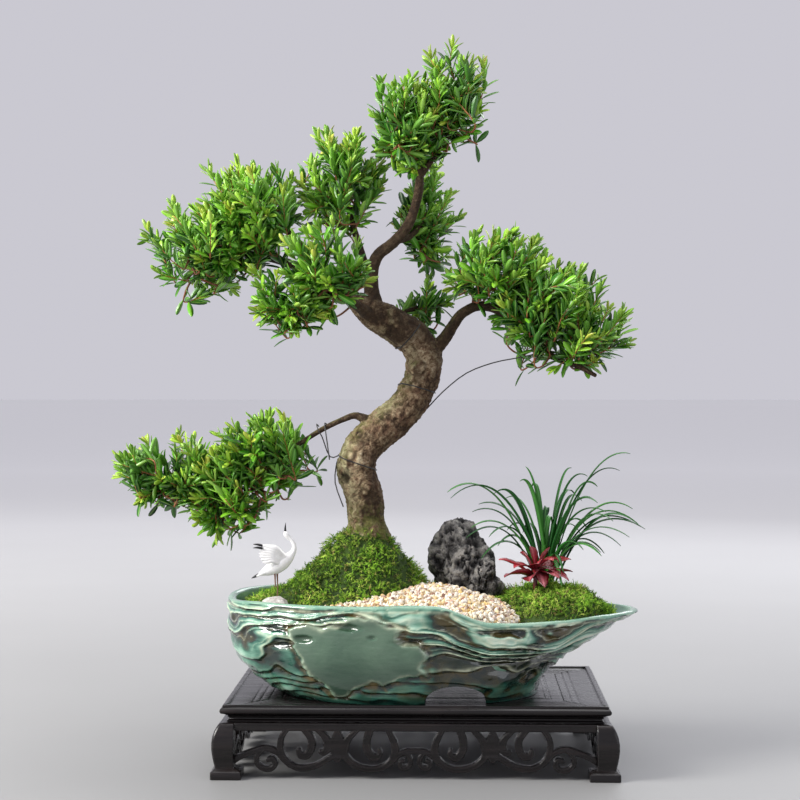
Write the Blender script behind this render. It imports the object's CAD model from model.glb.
"""Looks for the bonsai tree in a boat-shaped glazed pot on a carved black stand.

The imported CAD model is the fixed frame. Each detailed piece stands in the place of one CAD node or a few.
Lists of path points are in millimetres in the drawing's own frame. Its origin is on the floor under the
middle of the stand and its front faces -Y; place() moves them into the row frame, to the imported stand.
"""

import math

import bmesh
import bpy
import numpy as np
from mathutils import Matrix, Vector
from mathutils.bvhtree import BVHTree


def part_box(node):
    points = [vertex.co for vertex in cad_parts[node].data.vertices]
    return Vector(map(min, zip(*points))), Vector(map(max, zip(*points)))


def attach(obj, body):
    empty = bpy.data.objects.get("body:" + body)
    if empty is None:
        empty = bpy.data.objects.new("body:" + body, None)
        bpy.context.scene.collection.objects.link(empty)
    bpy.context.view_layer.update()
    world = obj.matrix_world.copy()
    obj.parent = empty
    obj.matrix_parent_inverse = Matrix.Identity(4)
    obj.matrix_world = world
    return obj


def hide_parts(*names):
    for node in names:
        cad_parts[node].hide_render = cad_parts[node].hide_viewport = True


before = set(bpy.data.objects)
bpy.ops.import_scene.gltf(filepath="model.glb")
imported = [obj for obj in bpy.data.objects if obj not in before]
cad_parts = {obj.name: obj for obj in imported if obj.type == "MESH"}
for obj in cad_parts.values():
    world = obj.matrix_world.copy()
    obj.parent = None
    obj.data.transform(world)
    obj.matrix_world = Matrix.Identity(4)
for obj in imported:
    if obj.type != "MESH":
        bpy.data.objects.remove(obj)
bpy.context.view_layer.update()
MM = 0.001

panel_low, panel_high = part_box("stand_panel")
SHIFT = np.array([(panel_low.x + panel_high.x) / 2, (panel_low.y + panel_high.y) / 2, 0.0])


def place(points_mm):
    """Row-frame metres of a point or an array of points given in millimetres in the drawing's frame."""
    return np.asarray(points_mm, float) * MM + SHIFT


# --- Noise -----------------------------------------------------------------------------------
HASH_FACTORS = np.array([374761393, 668265263, 1440662683])
HASH_SEED_FACTOR = 974634777


def lattice(cells, seed):
    """A repeatable number from -1 to 1 for each whole-number cell."""
    mask = 0xFFFFFFFF
    h = (cells @ HASH_FACTORS + seed * HASH_SEED_FACTOR) & mask
    h = ((h ^ (h >> 13)) * 1274126177) & mask
    h = ((h ^ (h >> 15)) * 2246822519) & mask
    return ((h ^ (h >> 16)) & mask) / 2147483647.5 - 1.0


def noise(points, seed=0):
    """Smooth noise from -1 to 1 at each row of points, one bump per unit of length."""
    points = np.asarray(points, float)
    cell = np.floor(points).astype(np.int64)
    f = points - cell
    f = f * f * f * (f * (f * 6 - 15) + 10)
    total = np.zeros(len(points))
    for dx in (0, 1):
        wx = f[:, 0] if dx else 1 - f[:, 0]
        for dy in (0, 1):
            wy = f[:, 1] if dy else 1 - f[:, 1]
            for dz in (0, 1):
                wz = f[:, 2] if dz else 1 - f[:, 2]
                total += wx * wy * wz * lattice(cell + np.array([dx, dy, dz]), seed)
    return total


def layered_noise(points, octaves, seed=0, fade=0.5):
    """Several layers of noise, each twice as fine and weaker than the one before."""
    points = np.asarray(points, float)
    total, weight, reach = np.zeros(len(points)), 1.0, 0.0
    for k in range(octaves):
        total += weight * noise(points * 2.03**k + 17.1 * k, seed + k)
        reach += weight
        weight *= fade
    return total / reach


def smooth(value, low=0.0, high=1.0):
    """0 below low, 1 above high, and an eased step between."""
    value = np.clip((np.asarray(value, float) - low) / (high - low), 0.0, 1.0)
    return value * value * (3 - 2 * value)


# --- Meshes ----------------------------------------------------------------------------------
def linked(name, data):
    """A new object in the scene that shows this mesh, curve, light or camera."""
    obj = bpy.data.objects.new(name, data)
    bpy.context.scene.collection.objects.link(obj)
    return obj


def evaluated_mesh(obj):
    """A new mesh of the object with its modifiers worked out."""
    bpy.context.view_layer.update()
    return bpy.data.meshes.new_from_object(obj.evaluated_get(bpy.context.evaluated_depsgraph_get()))


def write_values(mesh, key, domain, values):
    layer = mesh.attributes.new(key, "FLOAT", domain)
    layer.data.foreach_set("value", values.astype(np.float32))


def spread(value, count):
    """One number for all, or one for each, as an array with this many."""
    return np.broadcast_to(np.asarray(value, float), count)


class Parts:
    """Collects bodies into one mesh. Values are one number per point or, with 'face_', per face.

    rest holds the values of a body that is added without its own.
    """

    def __init__(self, rest=None):
        self.points, self.quads, self.tris, self.count = [], [], [], 0
        self.point_values, self.quad_values, self.tri_values = {}, {}, {}
        self.rest = rest or {}

    def add(self, points, quads=(), tris=(), values=None):
        points = np.asarray(points, float).reshape(-1, 3)
        quads = np.asarray(quads, np.int64).reshape(-1, 4)
        tris = np.asarray(tris, np.int64).reshape(-1, 3)
        self.points.append(points)
        self.quads.append(quads + self.count)
        self.tris.append(tris + self.count)
        self.count += len(points)
        for key, value in (values or self.rest).items():
            if key.startswith("face_"):
                on_quads, on_tris = value
                self.quad_values.setdefault(key, []).append(spread(on_quads, len(quads)))
                self.tri_values.setdefault(key, []).append(spread(on_tris, len(tris)))
            else:
                self.point_values.setdefault(key, []).append(spread(value, len(points)))

    def build(self, name, material, shade_smooth=True):
        points = np.concatenate(self.points)
        quads, tris = np.concatenate(self.quads), np.concatenate(self.tris)
        mesh = bpy.data.meshes.new(name)
        mesh.vertices.add(len(points))
        mesh.vertices.foreach_set("co", points.astype(np.float32).ravel())
        corners = np.concatenate([quads.ravel(), tris.ravel()]).astype(np.int32)
        starts = np.concatenate([np.arange(len(quads)) * 4, len(quads) * 4 + np.arange(len(tris)) * 3])
        mesh.loops.add(len(corners))
        mesh.loops.foreach_set("vertex_index", corners)
        mesh.polygons.add(len(starts))
        mesh.polygons.foreach_set("loop_start", starts.astype(np.int32))
        mesh.update(calc_edges=True)
        for key, value in self.point_values.items():
            write_values(mesh, key, "POINT", np.concatenate(value))
        for key, value in self.quad_values.items():
            write_values(mesh, key, "FACE", np.concatenate(value + self.tri_values[key]))
        mesh.polygons.foreach_set("use_smooth", np.full(len(starts), shade_smooth))
        mesh.materials.append(material)
        return linked(name, mesh)


def piece(obj, nodes):
    """Hands a finished piece over to the frame: it rides on the one body and stands for these nodes."""
    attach(obj, "root")
    if nodes:
        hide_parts(*nodes)
    return obj


def grid_faces(rows, columns):
    """Quads between rings of equal length, closed round each ring."""
    first = np.arange(rows - 1)[:, None] * columns
    i = np.arange(columns)
    j = (i + 1) % columns
    quads = np.stack([first + i, first + j, first + columns + j, first + columns + i], axis=-1)
    return quads.reshape(-1, 4)


def closed_rings(rings):
    """Points, quads and triangles of a skin over rings (rows x columns x 3), with a fan at each end."""
    rings = np.asarray(rings, float)
    rows, columns = rings.shape[:2]
    points = np.concatenate([rings.reshape(-1, 3), rings[0].mean(0)[None], rings[-1].mean(0)[None]])
    i = np.arange(columns)
    j = (i + 1) % columns
    first, last = rows * columns, rows * columns + 1
    top = (rows - 1) * columns
    tris = np.concatenate([np.stack([j, i, np.full(columns, first)], 1),
                           np.stack([top + i, top + j, np.full(columns, last)], 1)])
    return points, grid_faces(rows, columns), tris


def skinned(name, rings_mm, material, shade_smooth=True):
    """An object made of one body: a skin over rings given in millimetres."""
    parts = Parts()
    parts.add(*closed_rings(place(rings_mm)))
    return parts.build(name, material, shade_smooth)


def smooth_path(points, steps):
    """Catmull-Rom through rows of any length, with steps pieces between each two."""
    points = np.asarray(points, float)
    last = len(points) - 1
    t = (np.arange(steps) / steps)[:, None]
    path = []
    for i in range(last):
        p0, p1, p2, p3 = points[max(i - 1, 0)], points[i], points[i + 1], points[min(i + 2, last)]
        path.append(0.5 * (2 * p1 + (p2 - p0) * t + (2 * p0 - 5 * p1 + 4 * p2 - p3) * t**2
                           + (3 * p1 - p0 - 3 * p2 + p3) * t**3))
    path.append(points[last][None])
    return np.concatenate(path)


def arched_path(root, middle, tip, steps):
    """A curve from root to tip that is drawn towards the middle point, and its share from 0 to 1."""
    t = np.linspace(0, 1, steps)[:, None]
    return root * (1 - t) ** 2 + middle * 2 * t * (1 - t) + tip * t * t, t


def unit(v):
    v = np.asarray(v, float)
    return v / np.maximum(np.linalg.norm(v, axis=-1, keepdims=True), 1e-12)


def path_frames(centres):
    """Direction of travel and two directions across it at each point, turning as little as possible."""
    ahead = unit(np.gradient(centres, axis=0))
    side = np.cross(ahead[0], (0.0, 1.0, 0.0))
    if np.linalg.norm(side) < 0.3:
        side = np.cross(ahead[0], (1.0, 0.0, 0.0))
    sides = []
    for a in ahead:
        side = unit(side - a * np.dot(side, a))
        sides.append(side)
    sides = np.array(sides)
    return ahead, sides, np.cross(ahead, sides)


def tube_rings(path, sides):
    """Rings round a path whose rows are x, y, z, radius in metres."""
    _, u, v = path_frames(path[:, :3])
    angle = math.tau * np.arange(sides) / sides
    across = u[:, None] * np.cos(angle)[None, :, None] + v[:, None] * np.sin(angle)[None, :, None]
    return path[:, None, :3] + across * path[:, 3][:, None, None]


def path_in_place(points_mm, steps):
    """A smooth path in row-frame metres from rows of x, y, z, radius in millimetres."""
    path = smooth_path(points_mm, steps) * MM
    path[:, :3] += SHIFT
    return path


# --- Materials -------------------------------------------------------------------------------
MIX_FIRST, MIX_SECOND, MIX_RESULT = 6, 7, 2  # the colour sockets of Blender's Mix node


class Look:
    """One node material. Each method adds a node and gives back the socket to link from."""

    def __init__(self, name, **sockets):
        self.material = bpy.data.materials.new(name)
        self.material.use_nodes = True
        self.tree = self.material.node_tree
        self.shader = self.tree.nodes["Principled BSDF"]
        for key, value in sockets.items():
            self.shader.inputs[key.replace("_", " ")].default_value = value
        self.position = self.tree.nodes.new("ShaderNodeTexCoord").outputs["Object"]

    def put(self, socket, value):
        if isinstance(value, bpy.types.NodeSocket):
            self.tree.links.new(value, socket)
        elif isinstance(value, tuple) and len(value) == 3 and socket.type == "RGBA":
            socket.default_value = (*value, 1.0)
        else:
            socket.default_value = value

    def set(self, key, value):
        self.put(self.shader.inputs[key], value)

    def stretched(self, scale):
        node = self.tree.nodes.new("ShaderNodeMapping")
        node.inputs["Scale"].default_value = scale
        self.put(node.inputs["Vector"], self.position)
        return node.outputs["Vector"]

    def noise(self, scale, detail=4.0, roughness=0.55, vector=None, distortion=0.0):
        node = self.tree.nodes.new("ShaderNodeTexNoise")
        node.inputs["Scale"].default_value = scale
        node.inputs["Detail"].default_value = detail
        node.inputs["Roughness"].default_value = roughness
        node.inputs["Distortion"].default_value = distortion
        self.put(node.inputs["Vector"], vector or self.position)
        return node.outputs["Fac"]

    def cells(self, scale):
        node = self.tree.nodes.new("ShaderNodeTexVoronoi")
        node.inputs["Scale"].default_value = scale
        self.put(node.inputs["Vector"], self.position)
        return node.outputs["Distance"]

    def wave(self, scale, distortion, detail):
        node = self.tree.nodes.new("ShaderNodeTexWave")
        node.inputs["Scale"].default_value = scale
        node.inputs["Distortion"].default_value = distortion
        node.inputs["Detail"].default_value = detail
        self.put(node.inputs["Vector"], self.position)
        return node.outputs["Fac"]

    def value(self, name):
        node = self.tree.nodes.new("ShaderNodeAttribute")
        node.attribute_name = name
        return node.outputs["Fac"]

    def ramp(self, fac, stops):
        node = self.tree.nodes.new("ShaderNodeValToRGB")
        ramp = node.color_ramp
        while len(ramp.elements) < len(stops):
            ramp.elements.new(1.0)
        for element, (at, colour) in zip(ramp.elements, stops):
            element.position = at
            element.color = (*colour, 1.0) if isinstance(colour, tuple) else (colour,) * 3 + (1.0,)
        self.put(node.inputs["Fac"], fac)
        return node.outputs["Color"]

    def mix(self, fac, a, b, mode="MIX"):
        node = self.tree.nodes.new("ShaderNodeMix")
        node.data_type = "RGBA"
        node.blend_type = mode
        self.put(node.inputs["Factor"], fac)
        self.put(node.inputs[MIX_FIRST], a)
        self.put(node.inputs[MIX_SECOND], b)
        return node.outputs[MIX_RESULT]

    def stain(self, base, colour, where, stops):
        """The base with another colour over it, as strongly as the ramp through stops says."""
        return self.mix(self.ramp(where, stops), base, colour)

    def math(self, operation, a, b):
        node = self.tree.nodes.new("ShaderNodeMath")
        node.operation = operation
        for socket, value in zip(node.inputs, (a, b)):
            self.put(socket, value)
        return node.outputs["Value"]

    def sum(self, a, b, share):
        """The first value and a share of the second."""
        return self.math("ADD", a, self.math("MULTIPLY", b, share))

    def nudged(self, value, noise, amount):
        """The value moved up and down by noise that swings round a half."""
        return self.sum(value, self.math("SUBTRACT", noise, 0.5), amount)

    def bump(self, height, strength, distance):
        node = self.tree.nodes.new("ShaderNodeBump")
        node.inputs["Strength"].default_value = strength
        node.inputs["Distance"].default_value = distance
        self.put(node.inputs["Height"], height)
        return node.outputs["Normal"]


def lacquer_look():
    look = Look("black_lacquer", Coat_Weight=0.18, Coat_Roughness=0.15, Specular_IOR_Level=0.32)
    grain = look.noise(60, 5, 0.62, look.stretched((0.25, 3.0, 3.0)), 0.6)
    fibres = look.noise(420, 3, 0.6, look.stretched((0.06, 1.6, 1.6)))
    look.set("Base Color", look.ramp(grain, [(0.3, (0.003, 0.002, 0.002)), (0.55, (0.007, 0.005, 0.005)),
                                             (0.75, (0.016, 0.010, 0.009))]))
    look.set("Roughness", look.ramp(grain, [(0.35, 0.20), (0.7, 0.38)]))
    height = look.math("ADD", look.math("MULTIPLY", grain, 0.8), look.math("MULTIPLY", fibres, 0.35))
    look.set("Normal", look.bump(height, 0.35, 0.0006))
    return look.material


def glaze_look():
    look = Look("celadon_glaze", Coat_Weight=0.5, Coat_Roughness=0.06, IOR=1.5)
    drift = look.noise(26, 4, 0.6, None, 0.8)
    fine = look.noise(170, 5, 0.68, look.stretched((0.4, 0.4, 2.6)))
    at = look.nudged(look.nudged(look.value("relief"), drift, 0.34), fine, 0.30)
    body = look.ramp(at, [(0.14, (0.002, 0.014, 0.011)), (0.30, (0.012, 0.068, 0.048)),
                          (0.44, (0.050, 0.165, 0.115)), (0.57, (0.150, 0.325, 0.235)),
                          (0.71, (0.350, 0.550, 0.430)), (0.88, (0.680, 0.780, 0.650))])
    smooth_green = look.mix(look.ramp(look.noise(30, 4, 0.6, None, 0.6), [(0.35, 0.0), (0.7, 1.0)]),
                            (0.034, 0.072, 0.042), (0.074, 0.132, 0.080))
    low = look.ramp(look.value("low"), [(0.0, 1.0), (1.0, 0.40)])
    smooth_green = look.mix(1.0, smooth_green, low, "MULTIPLY")
    colour = look.mix(look.math("MULTIPLY", look.value("panel"), 0.9), body, smooth_green)
    ochre_fac = look.math("MULTIPLY", look.value("ochre"),
                          look.ramp(look.noise(60, 4, 0.6, None, 1.0), [(0.40, 0.0), (0.60, 0.9)]))
    colour = look.mix(ochre_fac, colour, (0.120, 0.080, 0.016))
    worn = look.ramp(look.noise(90, 3, 0.6), [(0.35, 0.15), (0.6, 0.85)])
    colour = look.mix(look.math("MULTIPLY", look.value("edge"), worn), colour, (0.640, 0.680, 0.480))
    look.set("Base Color", colour)
    look.set("Roughness", look.ramp(fine, [(0.35, 0.08), (0.75, 0.2)]))
    pits = look.ramp(look.noise(520, 2, 0.5), [(0.62, 0.0), (0.72, 1.0)])
    waves = look.noise(60, 4, 0.5, look.stretched((0.8, 0.8, 1.5)), 0.4)
    height = look.math("SUBTRACT", waves, look.math("MULTIPLY", pits, 0.10))
    look.set("Normal", look.bump(height, 0.40, 0.0016))
    return look.material


def soil_look():
    look = Look("soil", Roughness=0.95)
    crumbs = look.noise(900, 5, 0.7)
    look.set("Base Color", look.ramp(crumbs, [(0.3, (0.012, 0.008, 0.005)), (0.6, (0.050, 0.033, 0.020)),
                                              (0.8, (0.100, 0.072, 0.048))]))
    look.set("Normal", look.bump(crumbs, 1.0, 0.0012))
    return look.material


def moss_look():
    look = Look("moss", Roughness=0.7, Specular_IOR_Level=0.3)
    colour = look.ramp(look.value("tone"), [(0.0, (0.060, 0.160, 0.012)), (0.35, (0.200, 0.430, 0.026)),
                                            (0.65, (0.440, 0.700, 0.070)), (0.88, (0.740, 0.840, 0.180)),
                                            (1.0, (0.46, 0.34, 0.13))])
    shade = look.ramp(look.value("height"), [(0.0, 0.05), (0.45, 0.42), (1.0, 1.30)])
    look.set("Base Color", look.mix(1.0, colour, shade, "MULTIPLY"))
    return look.material


def gravel_look():
    look = Look("gravel", Specular_IOR_Level=0.45)
    speck = look.noise(1400, 4, 0.65)
    base = look.ramp(look.value("tone"), [(0.0, (0.66, 0.52, 0.34)), (0.20, (0.88, 0.84, 0.74)),
                                          (0.38, (0.80, 0.56, 0.20)), (0.52, (0.84, 0.78, 0.64)),
                                          (0.70, (0.86, 0.83, 0.78)), (0.78, (0.52, 0.28, 0.18)),
                                          (0.83, (0.90, 0.87, 0.80)), (0.89, (0.34, 0.15, 0.09)),
                                          (0.94, (0.20, 0.10, 0.07)), (1.0, (0.88, 0.66, 0.28))])
    look.set("Base Color", look.stain(base, (0.50, 0.38, 0.24), speck, [(0.45, 0.0), (0.75, 0.30)]))
    look.set("Roughness", look.ramp(speck, [(0.3, 0.4), (0.7, 0.75)]))
    look.set("Normal", look.bump(speck, 0.35, 0.0004))
    return look.material


def rock_look():
    look = Look("dark_rock", Roughness=0.9, Specular_IOR_Level=0.35)
    grain = look.noise(700, 5, 0.7)
    at = look.nudged(look.value("cavity"), grain, 0.5)
    colour = look.ramp(at, [(0.2, (0.008, 0.008, 0.008)), (0.40, (0.045, 0.043, 0.043)),
                            (0.58, (0.140, 0.134, 0.130)), (0.82, (0.40, 0.38, 0.35))])
    tint = look.noise(40, 3, 0.5)
    look.set("Base Color", look.stain(colour, (0.075, 0.062, 0.050), tint, [(0.5, 0.0), (0.75, 0.35)]))
    height = look.sum(grain, look.ramp(look.cells(420), [(0.12, 0.0), (0.45, 1.0)]), 0.9)
    look.set("Normal", look.bump(height, 1.0, 0.0011))
    return look.material


def pale_stone_look():
    look = Look("crane_stone", Roughness=0.75)
    grain = look.noise(320, 5, 0.65)
    look.set("Base Color", look.ramp(grain, [(0.3, (0.30, 0.27, 0.25)), (0.55, (0.60, 0.57, 0.53)),
                                             (0.75, (0.80, 0.78, 0.74))]))
    look.set("Normal", look.bump(grain, 0.7, 0.0008))
    return look.material


def bark_look():
    look = Look("bark", Roughness=0.8, Specular_IOR_Level=0.3)
    fine = look.noise(620, 6, 0.75)
    grains = look.noise(240, 5, 0.7, None, 0.6)
    patches = look.noise(90, 5, 0.7, None, 0.7)
    at = look.nudged(look.nudged(look.value("relief"), fine, 0.55), grains, 1.00)
    colour = look.ramp(at, [(0.10, (0.014, 0.008, 0.005)), (0.32, (0.080, 0.045, 0.024)),
                            (0.50, (0.235, 0.150, 0.085)), (0.68, (0.480, 0.365, 0.225)),
                            (0.90, (0.760, 0.660, 0.460))])
    pale = look.math("MULTIPLY", look.value("pale"), look.ramp(grains, [(0.36, 0.2), (0.56, 1.0)]))
    colour = look.mix(pale, colour, (0.700, 0.640, 0.380))
    pinkish = look.mix(0.5, colour, (0.50, 0.25, 0.16))
    colour = look.stain(colour, pinkish, patches, [(0.50, 0.0), (0.64, 0.5)])
    deeper = look.mix(1.0, colour, (0.30, 0.22, 0.16), "MULTIPLY")
    colour = look.stain(colour, deeper, look.noise(150, 6, 0.75, None, 0.9), [(0.50, 0.0), (0.62, 0.70)])
    shaded = look.mix(1.0, colour, (0.42, 0.36, 0.30), "MULTIPLY")
    colour = look.mix(look.value("dark"), colour, look.mix(0.70, shaded, (0.042, 0.026, 0.015)))
    mossy = look.ramp(look.noise(190, 5, 0.7), [(0.42, 0.0), (0.55, 1.0)])
    green = look.math("MULTIPLY", look.value("mossy"), mossy)
    colour = look.mix(green, colour, look.mix(grains, (0.060, 0.075, 0.014), (0.290, 0.300, 0.080)))
    look.set("Base Color", colour)
    look.set("Normal", look.bump(look.sum(fine, grains, 1.6), 1.0, 0.0020))
    return look.material


def twig_look():
    look = Look("twig_bark", Roughness=0.6, Specular_IOR_Level=0.4)
    grain = look.noise(900, 3, 0.6)
    colour = look.ramp(look.value("young"), [(0.0, (0.080, 0.040, 0.024)), (0.45, (0.300, 0.095, 0.040)),
                                             (1.0, (0.520, 0.200, 0.060))])
    look.set("Base Color", look.stain(colour, (0.16, 0.10, 0.06), grain, [(0.4, 0.0), (0.7, 0.5)]))
    look.set("Normal", look.bump(grain, 0.4, 0.0003))
    return look.material


def leaf_look():
    look = Look("leaves", Specular_IOR_Level=0.50, Coat_Weight=0.12, Coat_Roughness=0.25)
    tone = look.value("tone")
    top = look.ramp(tone, [(0.0, (0.008, 0.060, 0.004)), (0.30, (0.036, 0.205, 0.007)),
                           (0.62, (0.150, 0.470, 0.014)), (1.0, (0.430, 0.780, 0.060))])
    below = look.ramp(tone, [(0.0, (0.050, 0.170, 0.022)), (0.6, (0.160, 0.380, 0.045)),
                             (1.0, (0.320, 0.560, 0.080))])
    new = look.ramp(tone, [(0.0, (0.330, 0.560, 0.040)), (0.70, (0.540, 0.620, 0.060)),
                           (1.0, (0.640, 0.400, 0.070))])
    colour = look.mix(look.value("face_under"), top, below)
    colour = look.mix(look.math("MULTIPLY", look.value("young"), 0.7), colour, new)
    colour = look.stain(colour, (0.42, 0.44, 0.10), look.value("along"), [(0.0, 0.55), (0.16, 0.0)])
    colour = look.stain(colour, (0.42, 0.62, 0.14), look.value("vein"), [(0.72, 0.0), (1.0, 0.40)])
    look.set("Base Color", colour)
    mottle = look.noise(900, 3, 0.5)
    look.set("Roughness", look.ramp(mottle, [(0.3, 0.27), (0.7, 0.45)]))
    look.set("Normal", look.bump(mottle, 0.25, 0.0003))
    return look.material


def grass_look():
    look = Look("grass_blades", Roughness=0.38, Specular_IOR_Level=0.4)
    colour = look.ramp(look.value("tone"), [(0.0, (0.006, 0.055, 0.010)), (0.5, (0.016, 0.120, 0.018)),
                                            (1.0, (0.060, 0.260, 0.035))])
    colour = look.stain(colour, (0.150, 0.400, 0.110), look.value("vein"), [(0.55, 0.0), (1.0, 0.75)])
    colour = look.stain(colour, (0.30, 0.42, 0.20), look.value("along"), [(0.0, 0.7), (0.12, 0.0)])
    look.set("Base Color", colour)
    look.set("Normal", look.bump(look.wave(900, 0.4, 1.0), 0.12, 0.0002))
    return look.material


def red_leaf_look():
    look = Look("red_leaves", Roughness=0.32, Specular_IOR_Level=0.5, Coat_Weight=0.15, Coat_Roughness=0.2)
    colour = look.ramp(look.value("tone"), [(0.0, (0.085, 0.008, 0.012)), (0.5, (0.260, 0.016, 0.026)),
                                            (1.0, (0.520, 0.045, 0.060))])
    colour = look.stain(colour, (0.62, 0.16, 0.20), look.value("vein"), [(0.5, 0.0), (1.0, 0.8)])
    blotch = look.noise(210, 4, 0.6)
    look.set("Base Color", look.stain(colour, (0.10, 0.035, 0.018), blotch, [(0.5, 0.0), (0.8, 0.4)]))
    look.set("Normal", look.bump(blotch, 0.3, 0.0005))
    return look.material


def plain_look(name, colour, roughness, grain_scale=400, second=None):
    look = Look(name, Roughness=roughness)
    grain = look.noise(grain_scale, 3, 0.5)
    other = second or tuple(c * 0.72 for c in colour)
    look.set("Base Color", look.stain(colour, other, grain, [(0.35, 0.0), (0.75, 1.0)]))
    look.set("Normal", look.bump(grain, 0.15, 0.0003))
    return look.material


# --- Stand -----------------------------------------------------------------------------------
STAND_HALF_W, STAND_HALF_D = 148.0, 98.0
RAIL_WIDTH = 32.0
LIP_Z, FIELD_Z, FRAME_BOTTOM_Z = 56.2, 54.5, 48.0
WAIST_BOTTOM_Z = 42.8
LEG_INNER = (139.0, 89.0)
MITRE_GAP = 0.22
REED_GROOVE = ((0.75, 0), (0.45, 0.35), (0, 0.55), (-0.45, 0.35), (-0.75, 0))  # across, down
PANEL_STEPS = (  # how far in from the panel's edge, height
    (0, FRAME_BOTTOM_Z), (0, FIELD_Z - 0.4), (0.4, FIELD_Z), (9.0, FIELD_Z), (9.6, FIELD_Z - 0.55),
    (10.6, FIELD_Z - 0.55), (11.2, FIELD_Z), (13.4, FIELD_Z), (14.0, FIELD_Z - 0.45),
    (14.8, FIELD_Z - 0.45), (15.4, FIELD_Z),
)
WAIST_STRIP = [  # inward, height
    (16.5, WAIST_BOTTOM_Z), (16.5, FRAME_BOTTOM_Z - 0.2), (4.5, FRAME_BOTTOM_Z - 0.2),
    (3.4, FRAME_BOTTOM_Z - 0.9), (3.9, FRAME_BOTTOM_Z - 1.6), (4.6, 45.9), (4.6, 44.9), (3.8, 44.0),
    (3.1, 43.5), (3.1, WAIST_BOTTOM_Z),
]


def side_point(side, along, inward, z):
    """A point drawn for the front rail, turned to one of the four sides, in millimetres."""
    if side == "front":
        return (along, -STAND_HALF_D + inward, z)
    if side == "back":
        return (-along, STAND_HALF_D - inward, z)
    if side == "left":
        return (-STAND_HALF_W + inward, -along, z)
    return (STAND_HALF_W - inward, along, z)


def mitred_moulding(name, side, profile, material):
    half = STAND_HALF_W if side in ("front", "back") else STAND_HALF_D
    stations = np.linspace(-1, 1, 25)
    rings = [[side_point(side, s * (half - inward - MITRE_GAP), inward, z) for inward, z in profile]
             for s in stations]
    obj = skinned(name, rings, material)
    bevel = obj.modifiers.new("soft_edges", "BEVEL")
    bevel.width = 0.00022
    bevel.segments = 2
    bevel.limit_method = "ANGLE"
    bevel.angle_limit = math.radians(28)
    return obj


def arc(centre, radius, first, last, steps):
    """Points of an arc in (inward, z); angles in degrees, 0 points outwards and 90 up."""
    turns = [math.radians(first + (last - first) * k / steps) for k in range(steps + 1)]
    return [(centre[0] - radius * math.cos(turn), centre[1] + radius * math.sin(turn)) for turn in turns]


def rail_profile(reeded):
    profile = [(RAIL_WIDTH, FRAME_BOTTOM_Z), (RAIL_WIDTH, FIELD_Z - 0.4), (RAIL_WIDTH - 0.4, FIELD_Z)]
    reeds = (27.5, 23.6, 19.7, 15.8, 11.9) if reeded else (26.0, 20.5)
    for x in reeds:
        profile += [(x + across, FIELD_Z - down) for across, down in REED_GROOVE]
    profile += [(5.0, FIELD_Z), (4.3, FIELD_Z + 0.5), (3.9, LIP_Z - 0.25), (3.4, LIP_Z), (0.9, LIP_Z),
                (0.35, LIP_Z - 0.2), (0.05, LIP_Z - 0.7), (0.0, LIP_Z - 1.3), (0.25, LIP_Z - 1.8)]
    profile += arc((0.35, 51.6), 2.35, 62, -62, 10)
    profile += [(0.2, 49.2), (0.9, 48.9), (1.9, 48.6), (2.3, 48.25), (2.4, FRAME_BOTTOM_Z)]
    return profile


def stand_top(material):
    """Mitred rails with reeds, the waist strips under them, and the panel that floats between."""
    for side in ("front", "back", "left", "right"):
        profile = rail_profile(side in ("front", "back"))
        rail = mitred_moulding(f"rail_moulding_{side}", side, profile, material)
        piece(rail, [f"stand_rail_{side}"])
        waist = mitred_moulding(f"waist_moulding_{side}", side, WAIST_STRIP, material)
        piece(waist, [f"stand_waist_{side}"])
    x, y = STAND_HALF_W - RAIL_WIDTH - 0.25, STAND_HALF_D - RAIL_WIDTH - 0.25
    rings = []
    for inset, z in PANEL_STEPS:
        a, b = x - inset, y - inset
        corners = np.array([(-a, -b, z), (a, -b, z), (a, b, z), (-a, b, z)])
        sides = [np.linspace(corners[k], corners[(k + 1) % 4], 24, endpoint=False) for k in range(4)]
        rings.append(np.concatenate(sides))
    panel = skinned("floating_panel", rings, material, shade_smooth=False)
    piece(panel, ["stand_panel"])


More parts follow.
